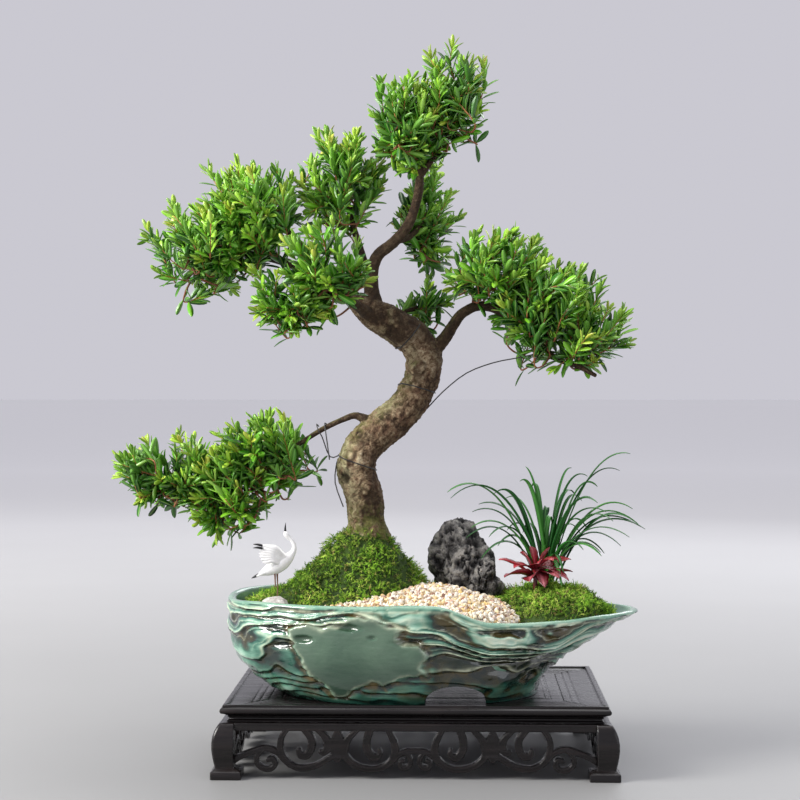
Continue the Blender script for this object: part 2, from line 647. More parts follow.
def stand_legs(material):
    """Square legs that swell outwards and end in a stepped foot with chamfered edges."""
    levels = [  # z, outer edge along X, how far the inner edges stand back, chamfer
        (0.0, 156.2, 5.6, 1.4), (0.35, 156.7, 6.0, 1.8), (5.3, 156.7, 6.0, 1.8), (5.8, 156.4, 5.8, 1.9),
        (6.6, 155.2, 4.6, 2.0), (6.9, 154.9, 4.2, 2.0), (7.2, 154.9, 4.2, 2.0), (8.4, 153.6, 0.4, 2.0),
        (9.6, 153.6, 0.0, 2.0), (13.0, 154.4, 0.0, 2.2), (18.0, 155.3, 0.0, 2.4), (23.0, 155.9, 0.0, 2.6),
        (28.0, 155.9, 0.0, 2.7), (33.0, 155.1, 0.0, 2.7), (37.0, 153.7, 0.0, 2.6), (40.0, 152.0, 0.0, 2.4),
        (41.6, 150.8, 0.0, 2.2), (42.3, 150.0, 0.3, 2.0), (42.5, 149.4, 0.6, 1.8),
    ]
    for name in ("front_left", "front_right", "back_left", "back_right"):
        sx = 1 if name.endswith("right") else -1
        sy = 1 if name.startswith("back") else -1
        rings = []
        for z, outer_x, toe, chamfer in levels:
            outer_y = outer_x - (STAND_HALF_W - STAND_HALF_D)
            inner_x, inner_y = LEG_INNER[0] - toe, LEG_INNER[1] - toe
            plan = [(inner_x, inner_y), ((inner_x + outer_x) / 2, inner_y), (outer_x - 0.4, inner_y),
                    (outer_x, inner_y + 0.4), (outer_x, outer_y - chamfer)]
            for k in range(1, 5):
                turn = math.pi / 2 * k / 5
                plan.append((outer_x - chamfer * (1 - math.cos(turn)),
                             outer_y - chamfer * (1 - math.sin(turn))))
            plan += [(outer_x - chamfer, outer_y), (inner_x + 0.4, outer_y), (inner_x, outer_y - 0.4),
                     (inner_x, (inner_y + outer_y) / 2)]
            ring = [(sx * x, sy * y, z) for x, y in plan]
            rings.append(ring if sx * sy > 0 else ring[::-1])
        leg = skinned(f"carved_leg_{name}", rings, material)
        leg.data.set_sharp_from_angle(angle=math.radians(32))
        piece(leg, [f"stand_leg_{name}"])


LEG_SCROLL = [  # strokes from the leg to the bud, in millimetres from the middle of the side: x, z, width
    [(-142, 12, 5), (-134.5, 16.5, 3.6), (-124, 20.5, 3.2), (-114.8, 23, 3.2), (-106, 20, 3.2),
     (-99, 13, 3.2), (-92, 8.8, 3.4), (-85.7, 7.8, 3.6), (-76, 10, 3.6), (-67, 15, 3.6), (-60, 19.5, 4)],
    [(-116, 22.5, 2.4), (-121.2, 17, 3), (-121, 11.5, 3), (-116.5, 7.6, 3), (-110.8, 7.4, 3.2),
     (-107.2, 11, 3.2), (-109, 14.8, 3), (-112.6, 14.2, 2.4)],
    [(-98, 38, 3), (-102.2, 32, 3.6), (-103.4, 25, 3.8), (-101, 17, 3.4), (-96, 10.5, 3.4)],
    [(-85, 38, 4), (-79.8, 31, 4.6), (-79.4, 24, 5), (-82.6, 18.2, 5), (-87.6, 18, 4.4), (-89.2, 21.6, 3)],
    [(-75.5, 38, 2.4), (-69, 32, 4), (-66.2, 25.5, 6), (-69.5, 20.4, 4), (-72.6, 20.6, 2.2)],
]
MIDDLE_SCROLL = [
    [(-43.5, 38, 2.4), (-50.5, 31.5, 4.2), (-53.8, 25, 6), (-53.4, 17.6, 4.4), (-46, 10.4, 3.6),
     (-35, 7.2, 3.4), (-25, 8.8, 3.6), (-18, 14.2, 4.2), (-15.2, 21, 5), (-16, 28, 4.4), (-21, 38, 3)],
    [(-34.5, 38, 5.4), (-37, 29, 5.2), (-36, 21, 5.2), (-31.2, 16.4, 4.6), (-26.6, 18.8, 3), (-27.4, 22, 2)],
    [(-18, 12.6, 3), (-13, 18, 3), (-7, 20.8, 3), (0, 21.3, 3)],
    [(-6.5, 20, 2.6), (-3.4, 14.6, 2.8), (-5.2, 9.4, 2.8), (-9.8, 8.4, 2.8), (-11.6, 12, 2.6), (-9.2, 14, 2)],
]
BUD = [(0, 38, 1.6), (0, 32, 7.4), (0, 25, 10.4), (0, 19, 8.4), (0, 15.4, 5)]
SHORT_SIDE_SHIFT = 59.4  # from the middle of a long side to the bud beside it
STROKE_EXTRA = 0.9
APRON_TOP, APRON_STEP, APRON_THICK = 42.5, 0.4, 9.0
APRON_EDGE = 0.45
SIDE_TURNS = {  # how far X and Y go per step along the side, then per step out of it
    "front": (1, 0, 0, -1), "back": (-1, 0, 0, 1), "left": (0, -1, -1, 0), "right": (0, 1, 1, 0),
}


def apron_strokes(long_side):
    """The strokes of one side's scroll, mirrored about its middle, and how far it reaches."""
    if long_side:
        half = LEG_SCROLL + [[(x - SHORT_SIDE_SHIFT, z, w) for x, z, w in BUD]] + MIDDLE_SCROLL
    else:
        half = [[(x + SHORT_SIDE_SHIFT, z, w) for x, z, w in stroke] for stroke in LEG_SCROLL]
        half[0][0] = (-LEG_INNER[1] - 3, 12, 5)
        half.append(BUD)
    reach = LEG_INNER[0 if long_side else 1]
    half = [[(x, z, w + STROKE_EXTRA) for x, z, w in stroke] for stroke in half]
    mirrored = [[(-x, z, w) for x, z, w in stroke] for stroke in half]
    rail = [[(-reach - 4, 39.6, 5.8), (reach + 4, 39.6, 5.8)]]
    return half + mirrored + rail, reach


def apron_field(long_side):
    """Signed distance to the joined strokes on a grid, in millimetres, and the grid's x and z values."""
    strokes, reach = apron_strokes(long_side)
    xs = np.arange(-reach - 1.2, reach + 1.2, APRON_STEP)
    zs = np.arange(-0.8, APRON_TOP + 1.6, APRON_STEP)
    gx, gz = np.meshgrid(xs, zs)
    field = np.full(gx.shape, 50.0)
    for stroke in strokes:
        path = smooth_path(stroke, 1 if len(stroke) == 2 else 8)
        for a, b in zip(path[:-1], path[1:]):
            d = b - a
            t = np.clip(((gx - a[0]) * d[0] + (gz - a[1]) * d[1]) / (d[0] ** 2 + d[1] ** 2 + 1e-9), 0, 1)
            away = np.hypot(gx - a[0] - t * d[0], gz - a[1] - t * d[1]) - (a[2] + t * d[2]) / 2
            field = np.minimum(field, away)
    return field, xs, zs, reach


def contour(field, xs, zs):
    """Closed outlines where the field crosses zero, by marching squares."""
    places, links = {}, {}
    inside = field < 0

    def crossing(j, i, upright):
        key = (j, i, upright)
        if key not in places:
            a, b = field[j, i], field[j + 1, i] if upright else field[j, i + 1]
            t = min(max(a / (a - b), 0.02), 0.98) * APRON_STEP
            places[key] = (xs[i] + (0 if upright else t), zs[j] + (t if upright else 0))
        return key

    total = inside[:-1, :-1].astype(int) + inside[:-1, 1:] + inside[1:, 1:] + inside[1:, :-1]
    for j, i in zip(*np.nonzero((total > 0) & (total < 4))):
        corner = [inside[j, i], inside[j, i + 1], inside[j + 1, i + 1], inside[j + 1, i]]
        sides = [(j, i, False), (j, i + 1, True), (j + 1, i, False), (j, i, True)]
        cut = [crossing(*sides[k]) for k in range(4) if corner[k] != corner[(k + 1) % 4]]
        pairs = ((0, 1),) if len(cut) == 2 else ((0, 3), (1, 2)) if corner[0] else ((0, 1), (2, 3))
        for a, b in pairs:
            links.setdefault(cut[a], []).append(cut[b])
            links.setdefault(cut[b], []).append(cut[a])
    loops, unused = [], set(links)
    for start in sorted(links):
        if start not in unused:
            continue
        loop = [start]
        unused.remove(start)
        while True:
            onward = [key for key in links[loop[-1]] if key in unused]
            if not onward:
                break
            loop.append(onward[0])
            unused.remove(onward[0])
        if len(loop) > 12:
            loops.append(np.array([places[key] for key in loop]))
    return loops


def eased(loop, rounds):
    for _ in range(rounds):
        loop = (np.roll(loop, 1, axis=0) + 2 * loop + np.roll(loop, -1, axis=0)) / 4
    return loop


def drawn_curve(name, loops, dimensions, **settings):
    curve = bpy.data.curves.new(name, "CURVE")
    curve.dimensions = dimensions
    for key, value in settings.items():
        setattr(curve, key, value)
    for loop in loops:
        spline = curve.splines.new("POLY")
        spline.points.add(len(loop) - 1)
        flat = np.ones((len(loop), 4))
        flat[:, :3] = 0.0
        flat[:, : loop.shape[1]] = loop
        spline.points.foreach_set("co", flat.ravel())
        spline.use_cyclic_u = True
    return curve


def mesh_from_curve(curve, name, material):
    holder = linked(name, curve)
    mesh = evaluated_mesh(holder)
    bpy.data.objects.remove(holder, do_unlink=True)
    mesh.materials.clear()
    mesh.materials.append(material)
    return mesh


def stand_aprons(material):
    """Openwork scroll boards with rounded edges and a thin raised bead along every edge."""
    for long_side, names in ((True, ("front", "back")), (False, ("left", "right"))):
        field, xs, zs, reach = apron_field(long_side)
        limit = np.maximum(np.abs(xs)[None, :] - (reach - 0.3), zs[:, None] - APRON_TOP)
        body = np.maximum(field, limit)
        outline = [eased(loop, 2) * MM for loop in contour(body + APRON_EDGE, xs, zs)]
        board = drawn_curve("board", outline, "2D", fill_mode="BOTH", bevel_resolution=2,
                            bevel_depth=APRON_EDGE * MM, extrude=(APRON_THICK / 2 - APRON_EDGE) * MM)
        line = [eased(loop, 3) * MM for loop in contour(np.maximum(field + 1.05, limit + 0.5), xs, zs)]
        bead = drawn_curve("bead", line, "3D", bevel_depth=0.42 * MM, bevel_resolution=2, fill_mode="FULL")
        outer = STAND_HALF_D if long_side else STAND_HALF_W
        middle = (outer + 2.0 - APRON_THICK / 2) * MM
        for name in names:
            shape = bmesh.new()
            shape.from_mesh(mesh_from_curve(board, "board", material))
            first = len(shape.verts)
            shape.from_mesh(mesh_from_curve(bead, "bead", material))
            shape.verts.ensure_lookup_table()
            for vert in shape.verts[first:]:
                vert.co.z += APRON_THICK / 2 * MM - 0.05 * MM
            bmesh.ops.remove_doubles(shape, verts=shape.verts, dist=1e-7)
            along_x, along_y, out_x, out_y = SIDE_TURNS[name]
            for vert in shape.verts:
                along, z, out = vert.co.x, vert.co.y, vert.co.z + middle
                vert.co = Vector((along_x * along + out_x * out + SHIFT[0],
                                  along_y * along + out_y * out + SHIFT[1], z))
            bmesh.ops.recalc_face_normals(shape, faces=shape.faces)
            mesh = bpy.data.meshes.new(f"scroll_apron_{name}")
            shape.to_mesh(mesh)
            shape.free()
            mesh.materials.append(material)
            mesh.shade_smooth()
            mesh.set_sharp_from_angle(angle=math.radians(40))
            piece(linked(f"scroll_apron_{name}", mesh), [f"stand_apron_{name}"])


# --- Pot -------------------------------------------------------------------------------------
POT_X, POT_Y, POT_HALF_W, POT_HALF_D = 12.5, -5.0, 167.5, 95.0
POT_WALL, POT_BASE_Z, POT_FLOOR_Z = 7.0, 54.8, 75.5
POT_RIM_Z, POT_RIM_DROP = 128.5, 11.5
FOOT = (-112.0, 98.0, -88.0, 74.0)
FOOT_BLUNTNESS, HOLLOW_POWER = 0.34, 1.7
ARCH_X, ARCH_HALF_W, ARCH_HEIGHT = 31.0, 23.5, 15.0
RIM_BLUNTNESS = 0.62
SOIL_Z = 114.0
POT_SECTIONS, POT_LEVELS = 680, 120
FLOOR_FILLET = 6.0
GLAZE_REST = {"relief": 0.58, "panel": 0.0, "ochre": 0.0, "edge": 0.2, "low": 0.0}  # inside the pot
UNDERSIDE_RELIEF = 0.30

PANEL_OUTLINE = [  # the smooth front plateau, in millimetres: x, z
    (-99, 112), (-88, 117), (-72, 114.5), (-62, 117), (-54, 120.5), (-44, 123), (-32, 122), (-20, 117),
    (-10, 113.5), (-14, 108), (-8, 103.5), (4, 102.5), (9, 96), (10, 90.5), (4, 85.5), (8, 80),
    (-4, 77.5), (-18, 75), (-24, 71), (-33, 72), (-40, 69.5), (-48, 66), (-55, 61.5), (-62, 61),
    (-67, 66), (-72, 71.5), (-82, 78), (-88, 87), (-94, 98),
]
HOLLOWS = [  # dark pits in the glaze: x, z, half width, half height, depth
    (-53, 115.5, 9, 2.6, 3.4), (-86, 105.5, 7, 2.6, 3.0), (-4, 104.5, 9.5, 2.6, 4.0),
    (-33, 108, 3.0, 1.6, 1.2), (92, 100, 6, 2.2, 2.2), (-104, 99, 6, 2.2, 2.2),
    (-112, 111, 8, 1.8, 2.0), (62, 112.5, 14, 1.5, 1.6),
    (108, 111.5, 12, 1.4, 1.6), (30, 116, 12, 1.6, 1.8),
]


def plan_points(angles, left, right, front, back, tip):
    """An outline that is blunt on the left and drawn out on the right."""
    u = np.cos(angles)
    blunt = np.clip(1 - np.abs(u) ** 2.6, 0, 1) ** 0.5
    drawn_out = np.clip(1 - np.abs(u) ** 2.0, 0, 1) ** tip
    reach = np.where(u < 0, blunt, drawn_out)
    x = (left + right) / 2 + u * (right - left) / 2
    return np.stack([x, np.where(np.sin(angles) > 0, back, front) * reach], axis=-1)


def rim_plan(angles):
    """The pot's rim seen from above."""
    return plan_points(angles, POT_X - POT_HALF_W, POT_X + POT_HALF_W, POT_Y - POT_HALF_D,
                       POT_Y + POT_HALF_D, RIM_BLUNTNESS)


def from_pot_middle(ring):
    """Level directions out from the middle of the pot to each point."""
    return unit(np.concatenate([ring[:, :2] - (POT_X, POT_Y), np.zeros((len(ring), 1))], axis=1))


def rim_heights(angles):
    u = np.cos(angles)
    wave = 1.0 * np.sin(3 * angles + 0.8) + 0.7 * np.sin(7 * angles)
    return POT_RIM_Z - POT_RIM_DROP * smooth((u - 0.02) / 0.26) + wave * smooth((1 - u) * 2)


def pot_rings(angles, z):
    """Points of the pot's plain outside at each angle and its height z, both flat arrays."""
    rim = rim_plan(angles)
    foot = plan_points(angles, *FOOT, FOOT_BLUNTNESS)
    height = np.clip((z - POT_BASE_Z) / (rim_heights(angles) - POT_BASE_Z), 0, 1)
    flare = 3.6 - 2.0 * smooth((np.cos(angles) + 0.2) / 1.1)
    rise = 1 - (1 - height) ** flare
    rise = rise + (height**HOLLOW_POWER - rise) * smooth((np.cos(angles) - 0.45) / 0.45)
    rise = rise[:, None]
    return np.concatenate([foot + (rim - foot) * rise, z[:, None]], axis=1)


def outline_distance(x, z, outline):
    """Signed distance to a closed outline, positive inside, in the units of the outline."""
    outline = np.asarray(outline, float)
    nearest = np.full(x.shape, 1e9)
    crossings = np.zeros(x.shape, int)
    for (ax, az), (bx, bz) in zip(outline, np.roll(outline, -1, axis=0)):
        dx, dz = bx - ax, bz - az
        t = np.clip(((x - ax) * dx + (z - az) * dz) / (dx * dx + dz * dz), 0, 1)
        nearest = np.minimum(nearest, np.hypot(x - ax - t * dx, z - az - t * dz))
        spans = (az > z) != (bz > z)
        crossings += spans & (x < (bx - ax) * (z - az) / (bz - az + 1e-12) + ax)
    return np.where(crossings % 2 == 1, nearest, -nearest)


def pot_relief(points, level):
    """How far the rock carving stands out, in millimetres, and the values that colour the glaze."""
    x, y, z = points[:, 0], points[:, 1], points[:, 2]
    drift = layered_noise(np.stack([x * 0.012, y * 0.012, level * 2.6], axis=1), 3, 3, 0.45)
    ragged = layered_noise(np.stack([x * 0.060, y * 0.060, level * 4], axis=1), 2, 9)
    layers = level * 6.4 + drift * 2.6 + ragged * 0.24 + 0.004 * x
    step = layers - np.floor(layers)
    ledge = smooth(step, 0.72, 1.0) - step
    thin_layers = level * 17 + drift * 5.0 + ragged * 0.8
    thin_step = thin_layers - np.floor(thin_layers)
    thin = smooth(thin_step, 0.70, 1.0) - thin_step
    lumps = layered_noise(np.stack([x * 0.035, y * 0.035, z * 0.06], axis=1), 3, 41)
    upper = smooth(level, 0.42, 0.72)
    rough = np.clip(0.40 + 0.60 * upper + 0.45 * smooth(x, 5, 50) * smooth(level, 0.18, 0.4), 0, 1.1)
    strata = (4.0 * (ledge + 0.36) + 1.1 * (thin + 0.36) * upper) * rough + 2.6 * lumps
    front = smooth(-y, 18, 55)
    wobble = 3.4 * layered_noise(np.stack([x * 0.09, z * 0.12, z * 0], axis=1), 3, 51)
    inside = outline_distance(x, z, PANEL_OUTLINE) + wobble
    panel = smooth(inside, -0.8, 2.2) * front
    lip = np.exp(-((inside - 0.8) / 1.6) ** 2) * front
    drop = np.exp(-((inside + 2.6) / 2.0) ** 2) * front
    recess_level = (level - 0.43 - 0.0012 * (x - 60)) / 0.19
    recess = front * smooth(x, 6, 22) * (1 - smooth(x, 92, 122)) * np.exp(-recess_level ** 2)
    calm = 1 - panel
    relief = strata * calm * (0.8 + 0.6 * recess) + 1.3 * panel
    relief = relief + 0.5 * lip * calm - 1.4 * drop * calm - 3.0 * recess
    relief += 0.35 * lumps * panel
    pits = np.zeros(len(x))
    for hx, hz, hw, hh, depth in HOLLOWS:
        ragged = 1 + 0.35 * layered_noise(np.stack([x * 0.2, z * 0.2, z * 0 + hx], axis=1), 2, 61)
        away = ((x - hx) / hw) ** 2 + ((z - hz) / hh) ** 2
        pit = np.exp(-(away * ragged) ** 1.5) * front
        pits = np.maximum(pits, pit * min(depth / 2.5, 1))
        relief -= depth * pit
    fade = smooth(level, 0.0, 0.10) * (1 - smooth(level, 0.955, 1.0))
    relief *= fade
    tone = 0.45 + relief / 5.4 - 0.16 * recess - 0.5 * pits + 0.22 * (level - 0.5)
    crevice = smooth(step, 0.52, 0.74) * (1 - smooth(step, 0.86, 0.97))
    crest = np.exp(-(step / 0.10) ** 2) + np.exp(-((1 - step) / 0.05) ** 2)
    thin_crest = np.exp(-(thin_step / 0.14) ** 2) * upper
    tone = tone - (0.42 * crevice + 0.12 * smooth(thin_step, 0.5, 0.8) * upper) * rough * calm
    under = 0.55 * crevice * rough + 0.9 * drop + 0.25 * recess + 0.35 * (1 - smooth(level, 0.1, 0.45))
    ochre = np.clip(under, 0, 1) * calm * fade
    worn = (0.95 * crest + 0.6 * thin_crest) * rough * calm * smooth(level, 0.2, 0.5)
    edge = np.clip(worn + 0.45 * lip, 0, 1)
    edge = np.maximum(edge, 0.8 * np.exp(-((level - 0.972) / 0.016) ** 2))
    low = panel * (1 - smooth(z, 66, 104))
    return relief, {"relief": np.clip(tone, 0, 1), "panel": panel, "ochre": ochre, "edge": edge, "low": low}


def pot(material):
    """The outside with its carving, a rolled lip, the plain inside, and the underside with its arch."""
    angles = math.tau * np.arange(POT_SECTIONS) / POT_SECTIONS
    rim_z = rim_heights(angles)
    foot = plan_points(angles, *FOOT, FOOT_BLUNTNESS)

    share = np.linspace(0, 1, POT_LEVELS)[:, None]
    z = POT_BASE_Z + share * (rim_z - POT_BASE_Z)[None]
    all_angles = np.broadcast_to(angles, z.shape)
    base = pot_rings(all_angles.ravel(), z.ravel())
    level = ((z - POT_BASE_Z) / (rim_z - POT_BASE_Z)[None]).ravel()
    relief, values = pot_relief(base, level)
    grid = base.reshape(POT_LEVELS, POT_SECTIONS, 3)
    round_way = np.roll(grid, -1, axis=1) - np.roll(grid, 1, axis=1)
    normals = unit(np.cross(round_way, np.gradient(grid, axis=0)))
    outside = grid + normals * relief.reshape(POT_LEVELS, POT_SECTIONS, 1)

    ring = pot_rings(angles, rim_z)
    toward = from_pot_middle(ring)
    centre = (ring + (ring - toward * POT_WALL)) / 2
    bumps = 0.7 * layered_noise(ring * 0.04, 3, 71)[:, None]
    lip = []
    for k in range(1, 7):
        turn = math.pi * k / 7
        lip.append(centre + toward * (POT_WALL / 2 * math.cos(turn)) + np.array((0, 0, 2.6 * math.sin(turn)))
                   + bumps * np.array((0, 0, math.sin(turn))))
    inside = []
    for share_down in np.linspace(0, 1, 10):
        ring = pot_rings(angles, rim_z + (POT_FLOOR_Z - rim_z) * share_down)
        inset = POT_WALL + (FLOOR_FILLET if share_down == 1 else 0)
        inside.append(ring - from_pot_middle(ring) * inset)
    under = []
    for shrink in np.linspace(0.04, 1.0, 10)[:-1]:
        plan = foot * shrink + np.array((ARCH_X, 0)) * (1 - shrink)
        under.append(np.concatenate([plan, np.full((POT_SECTIONS, 1), POT_BASE_Z)], axis=1))

    rings = np.concatenate([np.array(under), outside, np.array(lip), np.array(inside)])
    points, quads, tris = closed_rings(place(rings))
    filled = {}
    for key, value in values.items():
        before = np.full(len(under) * POT_SECTIONS, UNDERSIDE_RELIEF if key == "relief" else 0.0)
        after = np.full((len(lip) + len(inside)) * POT_SECTIONS, GLAZE_REST[key])
        filled[key] = np.concatenate([before, value, after, [UNDERSIDE_RELIEF, UNDERSIDE_RELIEF]])
    parts = Parts()
    parts.add(points, quads, tris, filled)
    obj = parts.build("glazed_pot", material)
    cut_arch(obj)
    piece(obj, ["pot"])


def cut_arch(obj):
    """Opens the low arch that runs under the pot from front to back."""
    turn = math.pi * np.arange(41) / 40
    arch_z = POT_BASE_Z + ARCH_HEIGHT * np.sin(turn) ** 0.75
    top = np.stack([ARCH_X + ARCH_HALF_W * np.cos(turn), arch_z], axis=1)
    below = POT_BASE_Z - 9
    outline = np.concatenate([top, [(ARCH_X - ARCH_HALF_W, below), (ARCH_X + ARCH_HALF_W, below)]])
    rings = [[(x, y, z) for x, z in outline] for y in np.linspace(110, -125, 12)]
    cutter = skinned("arch_cutter", rings, obj.data.materials[0])
    cut = obj.modifiers.new("arch", "BOOLEAN")
    cut.operation, cut.solver, cut.object = "DIFFERENCE", "EXACT", cutter
    mesh = evaluated_mesh(obj)
    obj.modifiers.clear()
    obj.data = mesh
    mesh.set_sharp_from_angle(angle=math.radians(60))
    bpy.data.objects.remove(cutter, do_unlink=True)


# --- Soil, moss and gravel -------------------------------------------------------------------
MOUNDS = {  # middle, reach left/right/front/back, height, extra peak x/y/height/spread, in millimetres
    "moss_mound_left": ((-52, 2), (102, 80, 70, 80), 20, (-43, 3, 55, 46)),
    "moss_mound_right": ((108, -6), (46, 50, 63, 66), 24, None),
    "moss_bed_back": ((50, 40), (86, 90, 50, 50), 15, None),
    "gravel_bed": ((8, -30), (112, 78, 84, 52), 21.5, (14, -16, 5, 34)),
}
ORDER = list(MOUNDS)
ROCK_LUMPS = [((34, 33, 142), (23.5, 20, 40), 2.4), ((53, 24, 134), (15, 15, 30), 5.1)]
CRANE_STONE = ((-112.5, -45, 126.2), (11.0, 9.5, 7.2))
TRIES = 20000  # places drawn at a time when a bed is strewn
BED_SPOKES, BED_RINGS = 150, 46
SPRIG_RADIUS, CURL_RADIUS, SIDE_RADIUS = 0.42, 0.36, 0.26
GRAINS = 1800
SOIL_SECTIONS = 160


def mound_height(name, x, y):
    """Height of one mound over each x, y, in millimetres; below the soil outside its edge."""
    centre, reach, height, peak = MOUNDS[name]
    dx, dy = x - centre[0], y - centre[1]
    rx = np.where(dx > 0, reach[1], reach[0])
    ry = np.where(dy > 0, reach[3], reach[2])
    share = np.hypot(dx / rx, dy / ry)
    z = SOIL_Z + 0.3 + height * np.clip(1 - share**2, 0, 1) ** 0.62
    if peak:
        away = np.hypot(x - peak[0], y - peak[1]) / peak[3]
        z = z + peak[2] * np.exp(-away * away) * (1 - np.clip(share, 0, 1) ** 4)
    return np.where(share < 1, z, SOIL_Z - 5)


def room_inside(x, y):
    """How far inside the pot's wall each x, y is, as a share that is 1 at the wall."""
    way = np.arctan2(y - POT_Y, x - POT_X)
    angles = way
    for _ in range(6):
        ring = rim_plan(angles)
        off = way - np.arctan2(ring[:, 1] - POT_Y, ring[:, 0] - POT_X)
        angles = angles + 0.7 * np.arctan2(np.sin(off), np.cos(off))
    ring = rim_plan(angles)
    reach = np.hypot(ring[:, 0] - POT_X, ring[:, 1] - POT_Y)
    return (np.hypot(x - POT_X, y - POT_Y) + POT_WALL + 0.8) / reach


def owner(x, y):
    """Which mound is on top at each x, y: earlier mounds win over later ones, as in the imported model."""
    best = np.full(x.shape, -1)
    height = np.full(x.shape, SOIL_Z)
    for k, name in enumerate(ORDER):
        z = mound_height(name, x, y)
        higher = z > height + (0.0 if k == 0 else 0.2)
        best = np.where(higher, k, best)
        height = np.where(higher, z, height)
    return best, height


def bed_points(rng, count, name):
    """Random points on the visible top of one mound, evenly over its slope."""
    k = ORDER.index(name)
    centre, reach, _, _ = MOUNDS[name]
    found = []
    total = 0
    while total < count:
        x = rng.uniform(centre[0] - reach[0], centre[0] + reach[1], TRIES)
        y = rng.uniform(centre[1] - reach[2], centre[1] + reach[3], TRIES)
        best, z = owner(x, y)
        slope = np.hypot(owner(x + 1, y)[1] - z, owner(x, y + 1)[1] - z)
        steepness = np.sqrt(1 + np.minimum(slope, 2.5) ** 2) / 2.7
        keep = (best == k) & (room_inside(x, y) < 1.0) & (rng.random(TRIES) < steepness)
        found.append(np.stack([x, y, z], axis=1)[keep])
        total += keep.sum()
    return np.concatenate(found)[:count]


def bed_surface(name, drop, step, values_at, seed):
    """A closed slab under one mound's cover: its bumpy top a little below the cover, its foot on the soil."""
    centre, reach, _, _ = MOUNDS[name]
    angles = math.tau * np.arange(BED_SPOKES) / BED_SPOKES
    c, s = np.cos(angles), np.sin(angles)
    rings = []
    for share in np.linspace(1, 0.012, BED_RINGS):
        x = centre[0] + c * np.where(c > 0, reach[1], reach[0]) * share
        y = centre[1] + s * np.where(s > 0, reach[3], reach[2]) * share
        out = np.maximum(room_inside(x, y), 1e-6)
        pull = np.where(out > 0.998, 0.998 / out, 1.0)
        x, y = POT_X + (x - POT_X) * pull, POT_Y + (y - POT_Y) * pull
        z = mound_height(name, x, y) if share < 1 else np.full(BED_SPOKES, SOIL_Z + 0.3)
        z = np.maximum(z, SOIL_Z + 0.3)
        bumps = layered_noise(np.stack([x, y, z * 0.6], axis=1) * step, 3, seed)
        rings.append(np.stack([x, y, np.maximum(z - drop + bumps * drop * 0.8, SOIL_Z - 1.5)], axis=1))
    foot = rings[0].copy()
    foot[:, 2] = SOIL_Z - 2.0
    parts = Parts()
    points, quads, tris = closed_rings(place([foot] + rings))
    parts.add(points, quads, tris, values_at(points))
    return parts


def spikes(parts, roots, tips, radius, values):
    """Thin three-sided spikes in millimetres; values hold one number for root and tip of each."""
    roots, tips = place(roots), place(tips)
    ahead = unit(tips - roots)
    u = unit(np.cross(ahead, np.array((0.31, 0.52, 0.79))))
    v = np.cross(ahead, u)
    corners = [roots + radius * MM * (u * math.cos(a) + v * math.sin(a))
               for a in (0, math.tau / 3, 2 * math.tau / 3)]
    points = np.stack(corners + [tips], axis=1).reshape(-1, 3)
    first = np.arange(len(roots))[:, None] * 4
    tris = np.concatenate([first + np.array(t) for t in ((0, 1, 3), (1, 2, 3), (2, 0, 3), (0, 2, 1))])
    whole = {key: np.stack([low, low, low, high], axis=1).ravel() for key, (low, high) in values.items()}
    parts.add(points, (), tris, whole)


def moss(name, count, seed, material):
    """Mounds of fine curled moss: a bumpy bed under thousands of short feathery sprigs."""
    rng = np.random.default_rng(seed)

    def bed_values(points):
        return {"tone": 0.25 + 0.3 * layered_noise(points * 300, 2, seed), "height": 0.12}

    parts = bed_surface(name, 2.6, 0.20, bed_values, seed)
    at = bed_points(rng, count, name)
    x, y, z = at.T
    fall_x = mound_height(name, x - 1, y) - mound_height(name, x + 1, y)
    fall_y = mound_height(name, x, y - 1) - mound_height(name, x, y + 1)
    normal = unit(np.clip(np.stack([fall_x, fall_y, np.full(count, 2.0)], axis=1), -3, 3))
    lumps = layered_noise(np.stack([x, y, z], axis=1) * 0.085, 3, seed + 5)
    patch = layered_noise(np.stack([x, y, z], axis=1) * 0.035, 2, seed + 8)
    base = at + normal * (lumps * 4.2 - 1.9)[:, None]
    lean = unit(rng.normal(size=(count, 3)) + normal * 0.9)
    length = rng.uniform(3.2, 7.6, count) * (1 + 0.5 * lumps)
    bend = base + lean * (0.55 * length)[:, None]
    curl = unit(lean + rng.normal(size=(count, 3)) * 0.6 - np.array((0, 0, 0.45)))
    tip = bend + curl * (0.55 * length)[:, None]
    tone = np.clip(0.48 + 0.35 * patch + 0.24 * rng.normal(size=count), 0, 0.97)
    tone = np.where(rng.random(count) < 0.02, 1.0, tone)
    low = np.clip(0.16 + 0.6 * lumps, 0, 1)
    high = np.clip(0.74 + 0.6 * lumps + 0.12 * rng.normal(size=count), 0, 1)
    half = (low + high) / 2
    overlap = base * 0.12 + bend * 0.88
    spikes(parts, base, bend, SPRIG_RADIUS, {"tone": (tone, tone), "height": (low, half)})
    spikes(parts, overlap, tip, CURL_RADIUS, {"tone": (tone, tone), "height": (half, high)})
    side_sprigs = ((base, lean, 0.7, 1.7), (bend, curl, 0.05, 1.9), (bend, curl, 0.45, 1.4))
    for start, way, share, side_length in side_sprigs:
        for sign in (-1, 1):
            across = unit(np.cross(way, rng.normal(size=(count, 3)))) * sign
            root = start + way * (share * 0.55 * length)[:, None]
            side_tip = root + (across * 0.8 + way * 0.7) * side_length * rng.uniform(0.6, 1.3, (count, 1))
            spikes(parts, root, side_tip, SIDE_RADIUS,
                   {"tone": (tone, tone), "height": (half, np.clip(high + 0.1, 0, 1))})
    piece(parts.build(f"{name}_sprigs", material, shade_smooth=False), [name])


def ball(levels):
    """Points and triangles of a unit ball."""
    shape = bmesh.new()
    bmesh.ops.create_icosphere(shape, subdivisions=levels, radius=1.0)
    points = np.array([v.co[:] for v in shape.verts])
    tris = np.array([[v.index for v in face.verts] for face in shape.faces])
    shape.free()
    return points, tris


